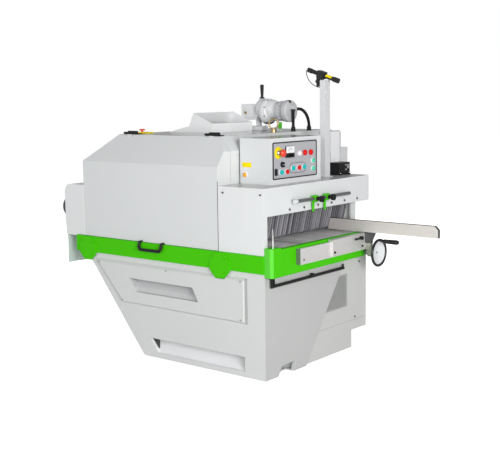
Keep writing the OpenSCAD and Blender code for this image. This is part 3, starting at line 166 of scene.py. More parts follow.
def rounded_outline(width, height, radius, steps=6):
    """Corner arcs of a rectangle in order: the corner's centre plus radius times cosine and sine."""
    arc = np.linspace(0, math.pi / 2, steps)
    quarter = np.arange(4)[:, None] * math.pi / 2
    angle = (quarter + arc).ravel()
    sign = np.repeat([[1, 1], [-1, 1], [-1, -1], [1, -1]], steps, axis=0)
    centre = sign * [max(width / 2 - radius, 0), max(height / 2 - radius, 0)]
    return centre + radius * np.stack([np.cos(angle), np.sin(angle)], axis=1)


def plate(centre, axis, width, height, radius, levels):
    """A rounded rectangle carried up through (inset, height) levels, closed to a point at both ends."""
    across, along, out = AXES[axis]
    rings = []
    for inset, _ in levels:
        size = max(width - 2 * inset, TINY), max(height - 2 * inset, TINY)
        rings.append(rounded_outline(*size, max(radius - inset, TINY)))
    flat = np.stack([rings[0] * 0] + rings + [rings[-1] * 0])
    lift = np.array([levels[0][1]] + [h for _, h in levels] + [levels[-1][1]])
    points = flat[..., :1] * across + flat[..., 1:] * along + lift[:, None, None] * out
    points = np.asarray(centre, float) + points
    return points.reshape(-1, 3), grid_faces(len(lift), rings[0].shape[0])


def slab(low, high, soft=0.001):
    """A block between two corners with softened edges, as a rounded plate carried along Z."""
    low, high = np.asarray(low, float), np.asarray(high, float)
    size = high - low
    centre = [(low[0] + high[0]) / 2, (low[1] + high[1]) / 2, low[2]]
    rise = [(soft, 0), (0, soft), (0, size[2] - soft), (soft, size[2])]
    return plate(centre, "+z", size[0], size[1], soft, rise)


print("axes:", ", ".join(AXES))

# %% [markdown]
# Hoses, leads and edgings are tubes: a circle carried along a path, always square to it. One direction
# across the path is known beforehand, and the other is square to that and to the path.

# %% Tubes
def circles(centres, ahead, side, radii, sides):
    """Circles across a path: radius times cosine along the side, and times sine square to side and path."""
    ahead = ahead / np.linalg.norm(ahead, axis=1, keepdims=True)
    normal = np.cross(ahead, side)
    angle = np.linspace(0, 2 * math.pi, sides, endpoint=False)
    ring = np.cos(angle)[None, :, None] * side + np.sin(angle)[None, :, None] * normal[:, None, :]
    return centres[:, None, :] + radii[:, None, None] * ring


def tube(path, side, radii, sides=12, closed=False):
    """A circle carried along a path, which comes back to its start or is closed to a point at both ends."""
    path = np.asarray(path, float)
    radii = np.broadcast_to(np.asarray(radii, float), (len(path),))
    if closed:
        ahead = np.roll(path, -1, axis=0) - np.roll(path, 1, axis=0)
        points = circles(path, ahead, side, radii, sides)
        return points.reshape(-1, 3), grid_faces(len(path), sides, close_rows=True)
    points = circles(path, np.gradient(path, axis=0), side, radii, sides)
    first, last = (np.repeat(end[None, None, :], sides, axis=1) for end in (path[0], path[-1]))
    points = np.concatenate([first, points, last])
    return points.reshape(-1, 3), grid_faces(len(path) + 2, sides)


# %% [markdown]
# ## Finishes
# Every finish is a small node network. Object coordinates place the pattern, so it stays put when a
# part moves. A slow noise shifts the colour a little, a fine noise roughens the surface, and the
# grain decides the bump: orange peel on paint, long scratches on ground steel, pits on cast iron.
# Where one solid carries two finishes, zones choose between them by place or by the way that the
# surface faces. Other zones hold painted shade and painted highlights. Rows of like members, such
# as the fingers, get a shade each: a random number for every whole step along the row.

# %% Node helpers
def feed(tree, node, inputs):
    """Each named input of a node is linked to a socket, or set to a plain value."""
    for key, value in dict(inputs).items():
        if isinstance(value, bpy.types.NodeSocket):
            tree.links.new(value, node.inputs[key])
        else:
            node.inputs[key].default_value = value


def add(tree, kind, inputs=(), **settings):
    """A new node with its settings made and its inputs linked or set."""
    node = tree.nodes.new(kind)
    for key, value in settings.items():
        setattr(node, key, value)
    feed(tree, node, inputs)
    return node


def reckon(tree, operation, *values, **settings):
    """The result of a math node: its operation on one or two numbers."""
    return add(tree, "ShaderNodeMath", enumerate(values), operation=operation, **settings).outputs[0]


def mix_colour(tree, share, a, b):
    """Colour a where share is 0, b where it is 1."""
    return add(tree, "ShaderNodeMix", {0: share, 6: a, 7: b}, data_type="RGBA").outputs[2]


def mix_value(tree, share, a, b):
    """Number a where share is 0, b where it is 1."""
    return add(tree, "ShaderNodeMix", {0: share, 2: a, 3: b}, data_type="FLOAT").outputs[0]


def noise(tree, spot, scale, detail):
    """A cloudy number between 0 and 1 at every spot."""
    inputs = {"Vector": spot, "Scale": scale, "Detail": detail}
    return add(tree, "ShaderNodeTexNoise", inputs).outputs["Fac"]


def shade(tint, amount):
    """A colour times an amount, no part above 1, with full cover."""
    return tuple(min(1.0, c * amount) for c in tint) + (1.0,)


# %% [markdown]
# A zone is a place with limits. Each limit is a test that gives 0 or 1, and the product of the tests
# is 1 only where all of them hold.

# %% Zones and rows
def zone_share(tree, spot, zone):
    """1 inside a zone and 0 outside: the product of a test for each limit.

    Limits are ranges of x, y and z, of the distance r from a line, or of the normal's parts nx and nz.
    """
    split = add(tree, "ShaderNodeSeparateXYZ", {0: spot}).outputs
    values = {"x": split[0], "y": split[1], "z": split[2]}
    if "r" in zone:
        offset = add(tree, "ShaderNodeVectorMath", {0: spot, 1: zone["line"]}, operation="SUBTRACT")
        sides = {0: offset.outputs[0], 1: zone["across"]}
        flat = add(tree, "ShaderNodeVectorMath", sides, operation="MULTIPLY")
        distance = add(tree, "ShaderNodeVectorMath", {0: flat.outputs[0]}, operation="LENGTH")
        values["r"] = distance.outputs["Value"]
    if "nz" in zone or "nx" in zone:
        normal = add(tree, "ShaderNodeNewGeometry").outputs["Normal"]
        facing = add(tree, "ShaderNodeSeparateXYZ", {0: normal}).outputs
        values["nx"], values["nz"] = facing[0], facing[2]
    tests = []
    for key, value in values.items():
        low, high = zone.get(key, (None, None))
        if low is not None:
            tests.append(reckon(tree, "GREATER_THAN", value, low))
        if high is not None:
            tests.append(reckon(tree, "LESS_THAN", value, high))
    share = tests[0]
    for test in tests[1:]:
        share = reckon(tree, "MULTIPLY", share, test)
    return share


def row_shade(tree, spot, bars):
    """A shade for each member of a row along Y: a random number for every whole step from the start."""
    start, pitch, spread = bars
    across = add(tree, "ShaderNodeSeparateXYZ", {0: spot}).outputs[1]
    step = reckon(tree, "FLOOR", reckon(tree, "DIVIDE", reckon(tree, "SUBTRACT", across, start), pitch))
    own = add(tree, "ShaderNodeTexWhiteNoise", {"W": step}, noise_dimensions="1D").outputs["Value"]
    return add(tree, "ShaderNodeMapRange", {0: own, 3: 1 - spread, 4: 1 + spread}).outputs[0]


# %% [markdown]
# A grain is the way that its noise is stretched, its fineness, the bump's height in metres and how
# uneven it makes the gloss.

# %% The finish itself
GRAINS = {
    "peel": ((1, 1, 1), 700, 0.00012, 0.05),
    "along_x": ((0.02, 1, 1), 900, 0.00010, 0.14),
    "along_y": ((1, 0.02, 1), 900, 0.00010, 0.14),
    "along_z": ((1, 1, 0.02), 900, 0.00010, 0.14),
    "cast": ((1, 1, 1), 320, 0.00060, 0.12),
    "moulded": ((1, 1, 1), 1500, 0.00008, 0.08),
    "smooth": ((1, 1, 1), 60, 0.00004, 0.03),
}
SLOW = 3.2
SPECK_SHARE = 0.45
ZONE_DRIFT = 0.06
BUMP = 0.5
COAT_ROUGH = 0.12
MIRROR = "Specular IOR Level"
PLAIN_MIRROR = 0.5


def finish(name, colour, rough, metal=0.0, grain="peel", drift=0.06, soft_edge=0.0, coat=0.0,
           zones=(), bars=(), settings=()):
    """A finish with slow colour drift, grain bump, uneven roughness, and zones with a finish of their own.

    A zone is (where, colour, roughness, metal) and, if it differs, its reflectivity. Bars are
    (start, pitch, spread) of a row along Y whose members each have a shade of their own.
    """
    material = bpy.data.materials.new(name)
    material.use_nodes = True
    tree = material.node_tree
    spot = add(tree, "ShaderNodeTexCoord").outputs["Object"]
    stretch, fineness, height, uneven = GRAINS[grain]
    laid = add(tree, "ShaderNodeMapping", {"Vector": spot, "Scale": stretch}).outputs[0]
    slow = noise(tree, spot, SLOW, 4.0)
    fine = noise(tree, laid, fineness, 2.0)
    speck = noise(tree, laid, fineness / 6, 3.0)
    share = mix_value(tree, SPECK_SHARE, slow, speck)

    def drifting(tint, amount):
        return mix_colour(tree, share, shade(tint, 1 - amount), shade(tint, 1 + amount))

    hue = drifting(colour, drift)
    if bars:
        lightness = row_shade(tree, spot, bars)
        hue = add(tree, "ShaderNodeVectorMath", {0: hue, "Scale": lightness}, operation="SCALE").outputs[0]
    gloss, shine, mirror = rough, metal, dict(settings).get(MIRROR, PLAIN_MIRROR)
    for zone, tint, zone_rough, zone_metal, *zone_mirror in zones:
        inside = zone_share(tree, spot, zone)
        hue = mix_colour(tree, inside, hue, drifting(tint, ZONE_DRIFT))
        gloss = mix_value(tree, inside, gloss, zone_rough)
        if zone_metal != metal or not isinstance(shine, float):
            shine = mix_value(tree, inside, shine, zone_metal)
        if zone_mirror:
            mirror = mix_value(tree, inside, mirror, zone_mirror[0])
    wander = add(tree, "ShaderNodeMapRange", {0: speck, 3: -uneven, 4: uneven}).outputs[0]
    bump = add(tree, "ShaderNodeBump", {"Height": fine, "Strength": BUMP, "Distance": height})
    if soft_edge > 0:
        rounding = add(tree, "ShaderNodeBevel", {"Radius": soft_edge}, samples=4)
        feed(tree, bump, {"Normal": rounding.outputs[0]})
    feed(tree, tree.nodes["Principled BSDF"], {
        "Base Color": hue,
        "Roughness": reckon(tree, "ADD", gloss, wander, use_clamp=True),
        "Metallic": shine,
        "Normal": bump.outputs[0],
        "Coat Weight": coat,
        "Coat Roughness": COAT_ROUGH,
        **dict(settings),
        MIRROR: mirror,
    })
    return material


print("grains:", ", ".join(GRAINS))

# %% [markdown]
# ## Colours of the machine
# The machine wears a light grey powder coat with one vivid green. Everything that the operator
# touches is black, red, green or yellow, so that it stands out. Colours are written as the light
# they send back, from 0 to 1.

# %% Families of finishes
WHITE = (0.70, 0.715, 0.72)
GREEN = (0.062, 0.56, 0.0005)
MOTOR_GREY = (0.54, 0.55, 0.565)
BLACK = (0.012, 0.012, 0.013)
PLASTIC_BLACK = (0.014, 0.014, 0.015)
DULL = {MIRROR: 0.12}
SATIN = {MIRROR: 0.25}


def powder_coat(name, colour=WHITE, rough=0.42, drift=0.025, soft_edge=0.003, **more):
    """Baked powder on sheet metal: fine orange peel and rounded folds."""
    return finish(name, colour, rough, drift=drift, soft_edge=soft_edge, **more)


def green_enamel(name, soft_edge=0.003, **more):
    """The machine's green, dull so that it stays vivid."""
    return finish(name, GREEN, 0.46, drift=0.05, soft_edge=soft_edge, settings=DULL, **more)


def cast_enamel(name, colour, **more):
    """Enamel on a casting, whose pits still show."""
    return finish(name, colour, 0.40, 0.0, "cast", drift=0.07, soft_edge=0.002, **more)


def moulded_black(name, **more):
    """Black plastic with the satin skin of its mould."""
    return finish(name, PLASTIC_BLACK, 0.50, 0.0, "moulded", drift=0.2, settings=SATIN, **more)


def smooth_plastic(name, colour, rough=0.30, drift=0.06, **more):
    """Polished plastic, as lamps and buttons are made of."""
    return finish(name, colour, rough, 0.0, "smooth", drift=drift, **more)


print("main colours:", WHITE, GREEN)

# %% Shared finishes
white_coat = powder_coat("white_powder_coat")
green_coat = green_enamel("green_enamel")
ground_y = finish("ground_steel_across", (0.80, 0.78, 0.77), 0.40, 0.5, "along_y", drift=0.10, zones=[
    # painted shade: the rail's left end face is painted dark grey-green
    ({"y": (None, -0.3075)}, (0.17, 0.20, 0.16), 0.50, 0.2),
])
ground_x = finish("ground_steel_lengthwise", (0.78, 0.755, 0.74), 0.36, 1.0, "along_x", drift=0.10)
turned_steel = finish("turned_steel", (0.50, 0.50, 0.50), 0.30, 1.0, "along_y", drift=0.06)
bright_chrome = finish("bright_chrome", (0.78, 0.79, 0.80), 0.14, 1.0, "smooth", drift=0.03)
cast_dark = finish("dark_cast_iron", (0.060, 0.060, 0.064), 0.62, 0.4, "cast", drift=0.15)
motor_grey = cast_enamel("grey_machine_enamel", MOTOR_GREY)
black_enamel = finish("black_enamel", BLACK, 0.42, 0.0, "peel", drift=0.2, settings=SATIN)
black_moulded = moulded_black("black_moulded_plastic")
black_rubber = finish("black_rubber", (0.018, 0.018, 0.018), 0.72, 0.0, "moulded", drift=0.2)
red_plastic = smooth_plastic("red_plastic", (0.72, 0.008, 0.006), settings=SATIN)
stop_red = finish("stop_button_red", (0.80, 0.055, 0.030), 0.34, 0.0, "moulded", drift=0.05)
teal_plastic = smooth_plastic("teal_button_plastic", (0.002, 0.52, 0.50), settings=SATIN)
mint_plastic = smooth_plastic("mint_lamp_plastic", (0.06, 0.62, 0.36), drift=0.05, settings=SATIN)
milk_plastic = smooth_plastic("milk_white_lamp", (0.86, 0.84, 0.86), 0.20, 0.02, coat=0.4)
amber_plastic = smooth_plastic("amber_lamp", (0.85, 0.36, 0.008), 0.18, 0.08, coat=0.5)
signal_yellow = finish("signal_yellow", (0.92, 0.74, 0.002), 0.42, 0.0, "moulded", drift=0.04, settings=DULL)
yellow_zinc = finish("yellow_zinc", (0.42, 0.32, 0.17), 0.30, 0.9, "smooth", drift=0.20)
brass = finish("brass", (0.46, 0.33, 0.12), 0.34, 1.0, "smooth", drift=0.10)
print("finishes:", len(bpy.data.materials))

# %% [markdown]
# ## Conduits and the laser's lead
# Two ribbed conduits bring power from the roof to the gear motor, and a thin lead loops from the
# laser to its post. A ribbed hose is a circle carried along a path whose radius swells and falls
# once per rib. One conduit drops straight; the other runs level, turns a quarter circle and drops.
# The inside is a second, smooth tube that comes back, so the hose is open and has a wall.

# %% Conduit paths
ROOF = 1.468
HOSE_R = 0.011
BORE_R = 0.0075
HOSE_SIDES = 24
RIB = 0.0044
RIB_DEPTH = 0.0018
RIB_STEPS = 6
BORE_STEPS = 40
ALONG_X = np.array([1.0, 0, 0])
DROP_TOP = np.array([0.024, 0.386, 1.620])
DROP_FOOT = 1.485
BEND_X = 0.024
BEND_START = 0.412
BEND_SIDE = 0.575
BEND_TOP = 1.620
BEND_R = 0.125
BEND_RUN = BEND_SIDE - BEND_R - BEND_START
BEND_ARC = BEND_R * math.pi / 2
DROP_L = float(DROP_TOP[2] - DROP_FOOT)
BEND_L = BEND_RUN + BEND_ARC + (BEND_TOP - BEND_R - DROP_FOOT)


def drop_path(s):
    """Straight down from the motor's box: the start point lowered by the distance."""
    return DROP_TOP - np.asarray(s)[:, None] * np.array([0, 0, 1.0])


def bend_path(s):
    """Level run, quarter circle, drop: the angle grows with the distance and is held at 0 and 90 degrees."""
    s = np.asarray(s)
    angle = np.clip((s - BEND_RUN) / BEND_R, 0, math.pi / 2)
    past = np.clip(s - BEND_RUN - BEND_ARC, 0, None)
    y = BEND_START + np.minimum(s, BEND_RUN) + BEND_R * np.sin(angle)
    z = BEND_TOP - BEND_R * (1 - np.cos(angle)) - past
    return np.stack([np.full_like(s, BEND_X), y, z], axis=1)


def hose(path, length):
    """Outer wall with a raised cosine for each rib, then the bore back again, closed both ways."""
    s = np.linspace(0, length, int(round(length / RIB)) * RIB_STEPS + 1)
    swell = HOSE_R - RIB_DEPTH * (0.5 - 0.5 * np.cos(2 * math.pi * s / RIB)) ** 1.5
    back = np.linspace(length, 0, BORE_STEPS)
    centres = np.concatenate([path(s), path(back)])
    ahead = np.concatenate([np.gradient(path(s), axis=0), -np.gradient(path(back), axis=0)])
    radii = np.concatenate([swell, np.full(len(back), BORE_R)])
    points = circles(centres, ahead, ALONG_X, radii, HOSE_SIDES)
    return points.reshape(-1, 3), grid_faces(len(centres), HOSE_SIDES, close_rows=True)


straight_hose = make_piece("straight_conduit", [hose(drop_path, DROP_L)],
                           black_moulded, crease=60)
bent_hose = make_piece("bent_conduit", [hose(bend_path, BEND_L)],
                       black_moulded, crease=60)

# %% Laser lead
TAIL = math.radians(18)
TAIL_DIR = np.array([-math.cos(TAIL), 0, math.sin(TAIL)])
LASER = np.array([0.344, 0.288, 1.842])
TAIL_END = LASER + 0.1282 * TAIL_DIR
GUIDES = np.stack([TAIL_END, TAIL_END + 0.036 * TAIL_DIR, [0.206, 0.288, 1.770], [0.3328, 0.288, 1.762]])
LEAD_R = 0.0026


def lead_path(t):
    """A curve bent by four guide points: each guide weighs in by its share of the distance gone."""
    t = np.asarray(t)[:, None]
    weights = (1 - t) ** 3, 3 * t * (1 - t) ** 2, 3 * t * t * (1 - t), t**3
    return sum(weight * guide for weight, guide in zip(weights, GUIDES))


lead_points = lead_path(np.linspace(0, 1, 40))
lead = make_piece("laser_lead", [tube(lead_points, (0, 1, 0), LEAD_R)],
                  black_rubber, crease=60)
for piece in (straight_hose, bent_hose, lead):
    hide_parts("conduits")
drop_path(np.linspace(0, DROP_L, 20)).tolist()
bend_path(np.linspace(0, BEND_L, 40)).tolist()

# %% [markdown]
# Glands hold the conduits. Each is a hexagon nut with a domed cap nut above it. A hexagon is a
# circle whose radius grows towards the corners, so the same turning formula serves: only the
# radius depends on the angle as well.

# %% Glands
HEX_STEPS = 24


def hexagon(across_flats, base, axis, levels):
    """Radius at an angle is half the width over the cosine of the angle from the nearest flat's middle."""
    across, along, out = AXES[axis]
    angle = np.linspace(0, 2 * math.pi, HEX_STEPS, endpoint=False)
    from_flat = (angle + math.pi / 6) % (math.pi / 3) - math.pi / 6
    reach = across_flats / 2 / np.cos(from_flat)
    levels = np.asarray(levels, float)
    circle = reach[:, None] * (np.cos(angle)[:, None] * across + np.sin(angle)[:, None] * along)
    points = np.asarray(base, float) + levels[:, 0, None, None] * circle + levels[:, 1, None, None] * out
    return points.reshape(-1, 3), grid_faces(len(levels), HEX_STEPS, close_rows=True)


INSIDE = 0.0114
NUT = 0.0295
HOLE = 2 * INSIDE / NUT
nut_levels = [(HOLE, 0.0002), (0.96, 0.0002), (1, 0.001), (1, 0.008), (0.96, 0.009), (HOLE, 0.009)]
cap_wall = [(INSIDE, 0.009), (0.0145, 0.009), (0.0148, 0.011), (0.0148, 0.024), (0.0138, 0.030),
            (0.0122, 0.032), (INSIDE, 0.032), (INSIDE, 0.009)]
cap_flats = [(0.0132, 0.0115), (0.0156, 0.0115), (0.0160, 0.0125), (0.0160, 0.0195), (0.0156, 0.0205),
             (0.0149, 0.0205), (0.0149, 0.0115), (0.0132, 0.0115)]
collar = [(INSIDE, 0), (0.0134, 0), (0.0134, 0.011), (0.0125, 0.013), (INSIDE, 0.013), (INSIDE, 0)]
gland_parts = []
for x, y in (DROP_TOP[:2], (BEND_X, BEND_SIDE)):
    gland_parts.append(hexagon(NUT, (x, y, ROOF), "+z", nut_levels))
    gland_parts.append(turned(cap_wall, (x, y, ROOF), "+z"))
    gland_parts.append(turned(cap_flats, (x, y, ROOF), "+z", 12))
gland_parts.append(turned(collar, DROP_TOP - [0, 0, 0.0135], "+z"))
gland_parts.append(turned(collar, (BEND_X, BEND_START + 0.0002, BEND_TOP), "+y"))
glands = make_piece("conduit_glands", gland_parts, black_moulded)
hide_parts("conduits")

# %% [markdown]
# ## Strip curtain
# Overlapping strips of clear, greenish PVC hang at the outfeed and keep chips in. A strip is a thin
# rounded section carried down from its rail. Warm plastic never hangs flat: each strip bows
# across its width and sways a little more towards its free end, all by two sines.

# %% Clear strips
pvc = finish("clear_green_strip", (0.66, 0.75, 0.71), 0.22, 0.0, "smooth", drift=0.05,
             settings={"Transmission Weight": 0.30, "IOR": 1.45, MIRROR: 0.25})
STRIPS = 12
STRIP_W = 0.099
STRIP_WALL = 0.0024
STRIP_FOOT = 0.558
STRIP_ROWS = 28
STRIP_PITCH = 0.095
FIRST_EDGE = -0.578
HALF_STRIP = 0.05
EXIT_TOP = 1.014
SIDE_TOP = 0.830
HEAD_X = -1.2545
FRONT_GAP = 0.0015
BACK_STEP = 0.0050
RAIL_RISE = 0.016
BOW = 0.0010
SWAY = 0.0008
strip_number = np.arange(STRIPS)
strip_top = np.where((strip_number > 1) & (strip_number < 11), EXIT_TOP, SIDE_TOP)
strip_y = FIRST_EDGE + STRIP_PITCH * strip_number + HALF_STRIP


def curtain_strips():
    """All strips at once: a flat rounded section, lowered row by row, pushed along X by a bow and a sway."""
    section = rounded_outline(STRIP_W, STRIP_WALL, STRIP_WALL / 2, 4)
    rows = np.linspace(0, 1, STRIP_ROWS)[None, :, None]
    number = strip_number[:, None, None]
    high = strip_top[:, None, None]
    across, through = section[None, None, :, 0], section[None, None, :, 1]
    bow = BOW * np.cos(math.pi * across / STRIP_W) * rows
    sway = SWAY * np.sin(5.0 * rows + 1.7 * number) * rows
    x = HEAD_X + FRONT_GAP + BACK_STEP * (number % 2) + through + bow + sway
    y = strip_y[:, None, None] + across
    z = high - rows * (high - STRIP_FOOT)
    points = np.stack(np.broadcast_arrays(x, y, z), axis=-1)
    ends = np.repeat(points.mean(axis=2, keepdims=True), len(section), axis=2)
    points = np.concatenate([ends[:, :1], points, ends[:, -1:]], axis=1)
    faces = grid_faces(points.shape[1], len(section))
    step = points.shape[1] * len(section)
    return points.reshape(-1, 3), (faces[None] + step * number).reshape(-1, 4)


strips = make_piece("curtain_strips", [curtain_strips()], pvc, crease=50)
rail_spots = [((-0.5795, -0.389), SIDE_TOP), ((-0.388, 0.472), EXIT_TOP), ((0.473, 0.5675), SIDE_TOP)]
rails = [slab((HEAD_X - 0.001, y0, z0), (HEAD_X + 0.013, y1, z0 + RAIL_RISE)) for (y0, y1), z0 in rail_spots]
header = make_piece("curtain_rails", rails, turned_steel)
for piece in (strips, header):
    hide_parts("strip_curtain")

# %% [markdown]
# ## Control panel
# The panel is a grey sheet in a black rubber edging. Its buttons and its two mint lamps sit in bright
# bezels, all turned from one profile. The white lamp and the red ones are wider lenses with no bezel.
# The solid model has the buttons themselves, because they move; bezels and lamps belong to the panel.
# A trim starts a tenth of a millimetre off its seat, so that no two surfaces lie in one plane.

# %% Bezels and lamps
PANEL = 0.424
SEAT = 0.0001
BUTTONS = [(-0.298, 1.247), (-0.239, 1.247), (-0.176, 1.264), (-0.114, 1.264), (-0.058, 1.266)]
WHITE_LAMPS = [(-0.104, 1.354)]
RED_LAMPS = [(-0.045, 1.355), (0.020, 1.354)]
MINT_LAMPS = [(0.044, 1.300), (0.044, 1.249)]
AMBER_LAMP = (0.215, -0.383, 1.229)
WIDE = 1.18
LENS_R = 0.0152
LENS_SKIRT = 0.008
LENS_DOME = 0.009
bezel = [(0.0154, SEAT), (0.0182, SEAT), (0.0182, 0.0064), (0.0177, 0.0076), (0.0166, 0.0080),
         (0.0154, 0.0074), (0.0154, SEAT)]
bezel_metal = finish("bright_bezel", (0.93, 0.94, 0.95), 0.30, 0.25, "smooth", drift=0.03)


def lamp_lens(widen=1.0, rise=1.0):
    """A skirt, then a dome: its radius times the cosine and its height times the sine of one angle."""
    angle = np.linspace(0, math.pi / 2, 9)
    radius = LENS_R * np.concatenate([[0, 1, 1], np.cos(angle[:-1]), [0]])
    height = np.concatenate([[SEAT, SEAT, LENS_SKIRT], LENS_SKIRT + LENS_DOME * np.sin(angle)])
    return np.stack([widen * radius, rise * height], axis=1)


def on_panel(profile, spots, sides):
    """The same turned shape at several spots of the panel."""
    return [turned(profile, (PANEL, y, z), "+x", sides) for y, z in spots]


make_piece("button_bezels", on_panel(bezel, BUTTONS + MINT_LAMPS, 36), bezel_metal)
indicators = [
    make_piece(name, on_panel(lamp_lens(widen), spots, 32), plastic, crease=50)
    for name, spots, plastic, widen in (
        ("white_lamps", WHITE_LAMPS, milk_plastic, WIDE),
        ("red_lamps", RED_LAMPS, red_plastic, WIDE),
        ("mint_lamps", MINT_LAMPS, mint_plastic, 1.0),
    )
]
amber_lens = turned(lamp_lens(rise=0.9), AMBER_LAMP, "-y", 32)
amber_ring = turned(bezel, AMBER_LAMP, "-y", 36)
indicators.append(make_piece("amber_lamp", [amber_lens], amber_plastic, crease=50))
indicators.append(make_piece("amber_lamp_bezel", [amber_ring], bezel_metal))

# %% [markdown]
# The emergency stop stands on a yellow disc with a bright sleeve. The meter is a black
# frame with a white dial above and a black skirt below; its scale is a fan of short marks and its
# needle is a thin wedge.

# %% Stop ring and sleeve
STOP = [(-0.322, 1.367)]
disc = [(0.0152, SEAT), (0.037, SEAT), (0.037, 0.0022), (0.0362, 0.003), (0.0152, 0.003), (0.0152, SEAT)]
sleeve = [(0.0146, 0.0031), (0.0185, 0.0031), (0.0185, 0.006), (0.0168, 0.0085), (0.0168, 0.017),
          (0.0158, 0.018), (0.0146, 0.018), (0.0146, 0.0031)]
indicators.append(make_piece("stop_ring", on_panel(disc, STOP, 48), signal_yellow))
make_piece("stop_sleeve", on_panel(sleeve, STOP, 40), bright_chrome)

# %% Meter
METER_Y, METER_Z = -0.204, 1.367
METER_FACE = PANEL + 0.0073
DIAL_AT = (METER_FACE, METER_Y, METER_Z + 0.0140)
SKIRT_AT = (METER_FACE, METER_Y, METER_Z - 0.0205)
PIVOT_Z = METER_Z - 0.007
FAN = 48
MARK_X = PANEL + 0.0079
MARK_RISE = 0.0003
case_levels = [(0, SEAT), (0, 0.0060), (0.001, 0.0070), (0.002, 0.0072)]
skirt_levels = [(0, 0), (0, 0.0014), (0.0012, 0.0024)]
set_screw = [(0, 0.0024), (0.004, 0.0024), (0.004, 0.0034), (0.0034, 0.0038), (0, 0.0038)]
case_plate = plate((PANEL, METER_Y, METER_Z), "+x", 0.088, 0.070, 0.004, case_levels)
dial_plate = plate(DIAL_AT, "+x", 0.084, 0.040, 0.002, [(0, 0), (0, 0.0005)])
skirt_plate = plate(SKIRT_AT, "+x", 0.084, 0.027, 0.003, skirt_levels)
skirt_screw = turned(set_screw, SKIRT_AT, "+x", 20)
dial_white = smooth_plastic("dial_white", (0.88, 0.89, 0.90), drift=0.015)
indicators += [
    make_piece("meter_case", [case_plate], black_moulded),
    make_piece("meter_dial", [dial_plate], dial_white),
    make_piece("meter_skirt", [skirt_plate, skirt_screw], black_enamel),
]


def fan_marks(count, near, far, width):
    """Short radial bars: each is a thin box turned by its own angle about the needle's pivot."""
    angle = np.radians(np.linspace(-FAN, FAN, count))[:, None]
    reach = np.array([near, far, far, near, near, far, far, near])[None, :]
    sway = width * np.array([-1, -1, 1, 1, -1, -1, 1, 1])[None, :]
    lift = np.array([0, 0, 0, 0, 1, 1, 1, 1])[None, :] * MARK_RISE
    y = METER_Y + reach * np.sin(angle) + sway * np.cos(angle)
    z = PIVOT_Z + reach * np.cos(angle) - sway * np.sin(angle)
    points = np.stack([MARK_X + lift + 0 * y, y, z], axis=-1)
    box = np.array([[0, 3, 2, 1], [4, 5, 6, 7], [0, 1, 5, 4], [1, 2, 6, 5], [2, 3, 7, 6], [3, 0, 4, 7]])
    faces = box[None] + 8 * np.arange(count)[:, None, None]
    return points.reshape(-1, 3), faces.reshape(-1, 4)


marks = [fan_marks(21, 0.026, 0.031, 0.0003), fan_marks(5, 0.024, 0.031, 0.0005)]
make_piece("meter_scale", marks, black_enamel)
NEEDLE_X = PANEL + 0.0087
NEEDLE_L = 0.028
NEEDLE_TURN = math.radians(-34)
gone = np.linspace(0, 1, 6)
needle_y = METER_Y + NEEDLE_L * gone * math.sin(NEEDLE_TURN)
needle_z = PIVOT_Z + NEEDLE_L * gone * math.cos(NEEDLE_TURN)
needle_path = np.stack([np.full(len(gone), NEEDLE_X), needle_y, needle_z], axis=1)
needle = tube(needle_path, ALONG_X, 0.0005 - 0.0003 * gone, 6)
make_piece("meter_needle", [needle], red_plastic)

# %% [markdown]
# A rocker needs a frame round it: a thin tube carried round a rounded rectangle. The same trick makes
# the panel's rubber edging and the thin line round the three feed buttons, which follows a stadium.

# %% Edging, rocker frame and group line
def panel_loop(place, width, height, corner, lift, radius, sides, steps=8):
    """A closed tube along a rounded rectangle's outline, lifted off the panel's plane."""
    flat = rounded_outline(width, height, corner, steps) + place
    path = np.column_stack([np.full(len(flat), PANEL + lift), flat])
    return [tube(path, ALONG_X, radius, sides, closed=True)]


edging = panel_loop((-0.1435, 1.3175), 0.459, 0.221, 0.006, 0.0006, 0.0038, 12)
group_line = panel_loop((-0.117, 1.265), 0.172, 0.062, 0.0305, 0.0004, 0.0013, 8, steps=14)
frame_loop = panel_loop((-0.345, 1.249), 0.0245, 0.0395, 0.003, 0.0021, 0.0020, 10)
make_piece("panel_edging", edging, black_rubber, crease=60)
make_piece("button_group_line", group_line, black_enamel, crease=60)
indicators.append(make_piece("rocker_frame", frame_loop, black_moulded, crease=60))
for piece in indicators:
    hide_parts("panel_indicators")

# %% [markdown]
# ## Bare labels
# Three labels are bare: a yellow tag on the control box, a pale sheet at the infeed end and a yellow
# band on the laser. The tag is a thin plate with rounded corners. Paper lifts a little, so the sheet
# is a grid that bulges by a product of two sines. The band follows the laser's barrel. Sheet and band
# are grids with a wall of three tenths of a millimetre.

# %% Blank tag and blank sheet
LABEL_WALL = 0.0003
PAPER_GAP = 0.0006
BULGE = 0.0022
RIPPLE = 0.0010
tag = plate((0.2265, -0.383, 1.291), "-y", 0.072, 0.030, 0.003, [(0, SEAT), (0, 0.0006), (0.0003, 0.0008)])
make_piece("blank_yellow_tag", [tag], signal_yellow)


def thin_wall(front, back):
    """Two grids of the same surface, front and back, whose rims join."""
    rows, columns = front.shape[:2]
    points = np.concatenate([front, back[:, ::-1]], axis=1)
    sides = grid_faces(rows, 2 * columns)
    step = np.arange(columns - 1)
    rim = np.stack([step, 2 * columns - 1 - step, 2 * columns - 2 - step, 1 + step], axis=1)
    return points.reshape(-1, 3), np.concatenate([sides, rim, rim + (rows - 1) * 2 * columns])


def paper(y0, y1, z0, z1, x):
    """A flat grid, bulged by a product of two sines and rippled by a squared one, and its back."""
    u, v = np.meshgrid(np.linspace(0, 1, 14), np.linspace(0, 1, 22))
    bulge = BULGE * np.sin(math.pi * u) * np.sin(math.pi * v) + RIPPLE * np.sin(2.3 * math.pi * v) ** 2
    front = np.stack([x + PAPER_GAP + bulge, y0 + (y1 - y0) * u, z0 + (z1 - z0) * v], axis=-1)
    return thin_wall(front, front - [LABEL_WALL, 0, 0])


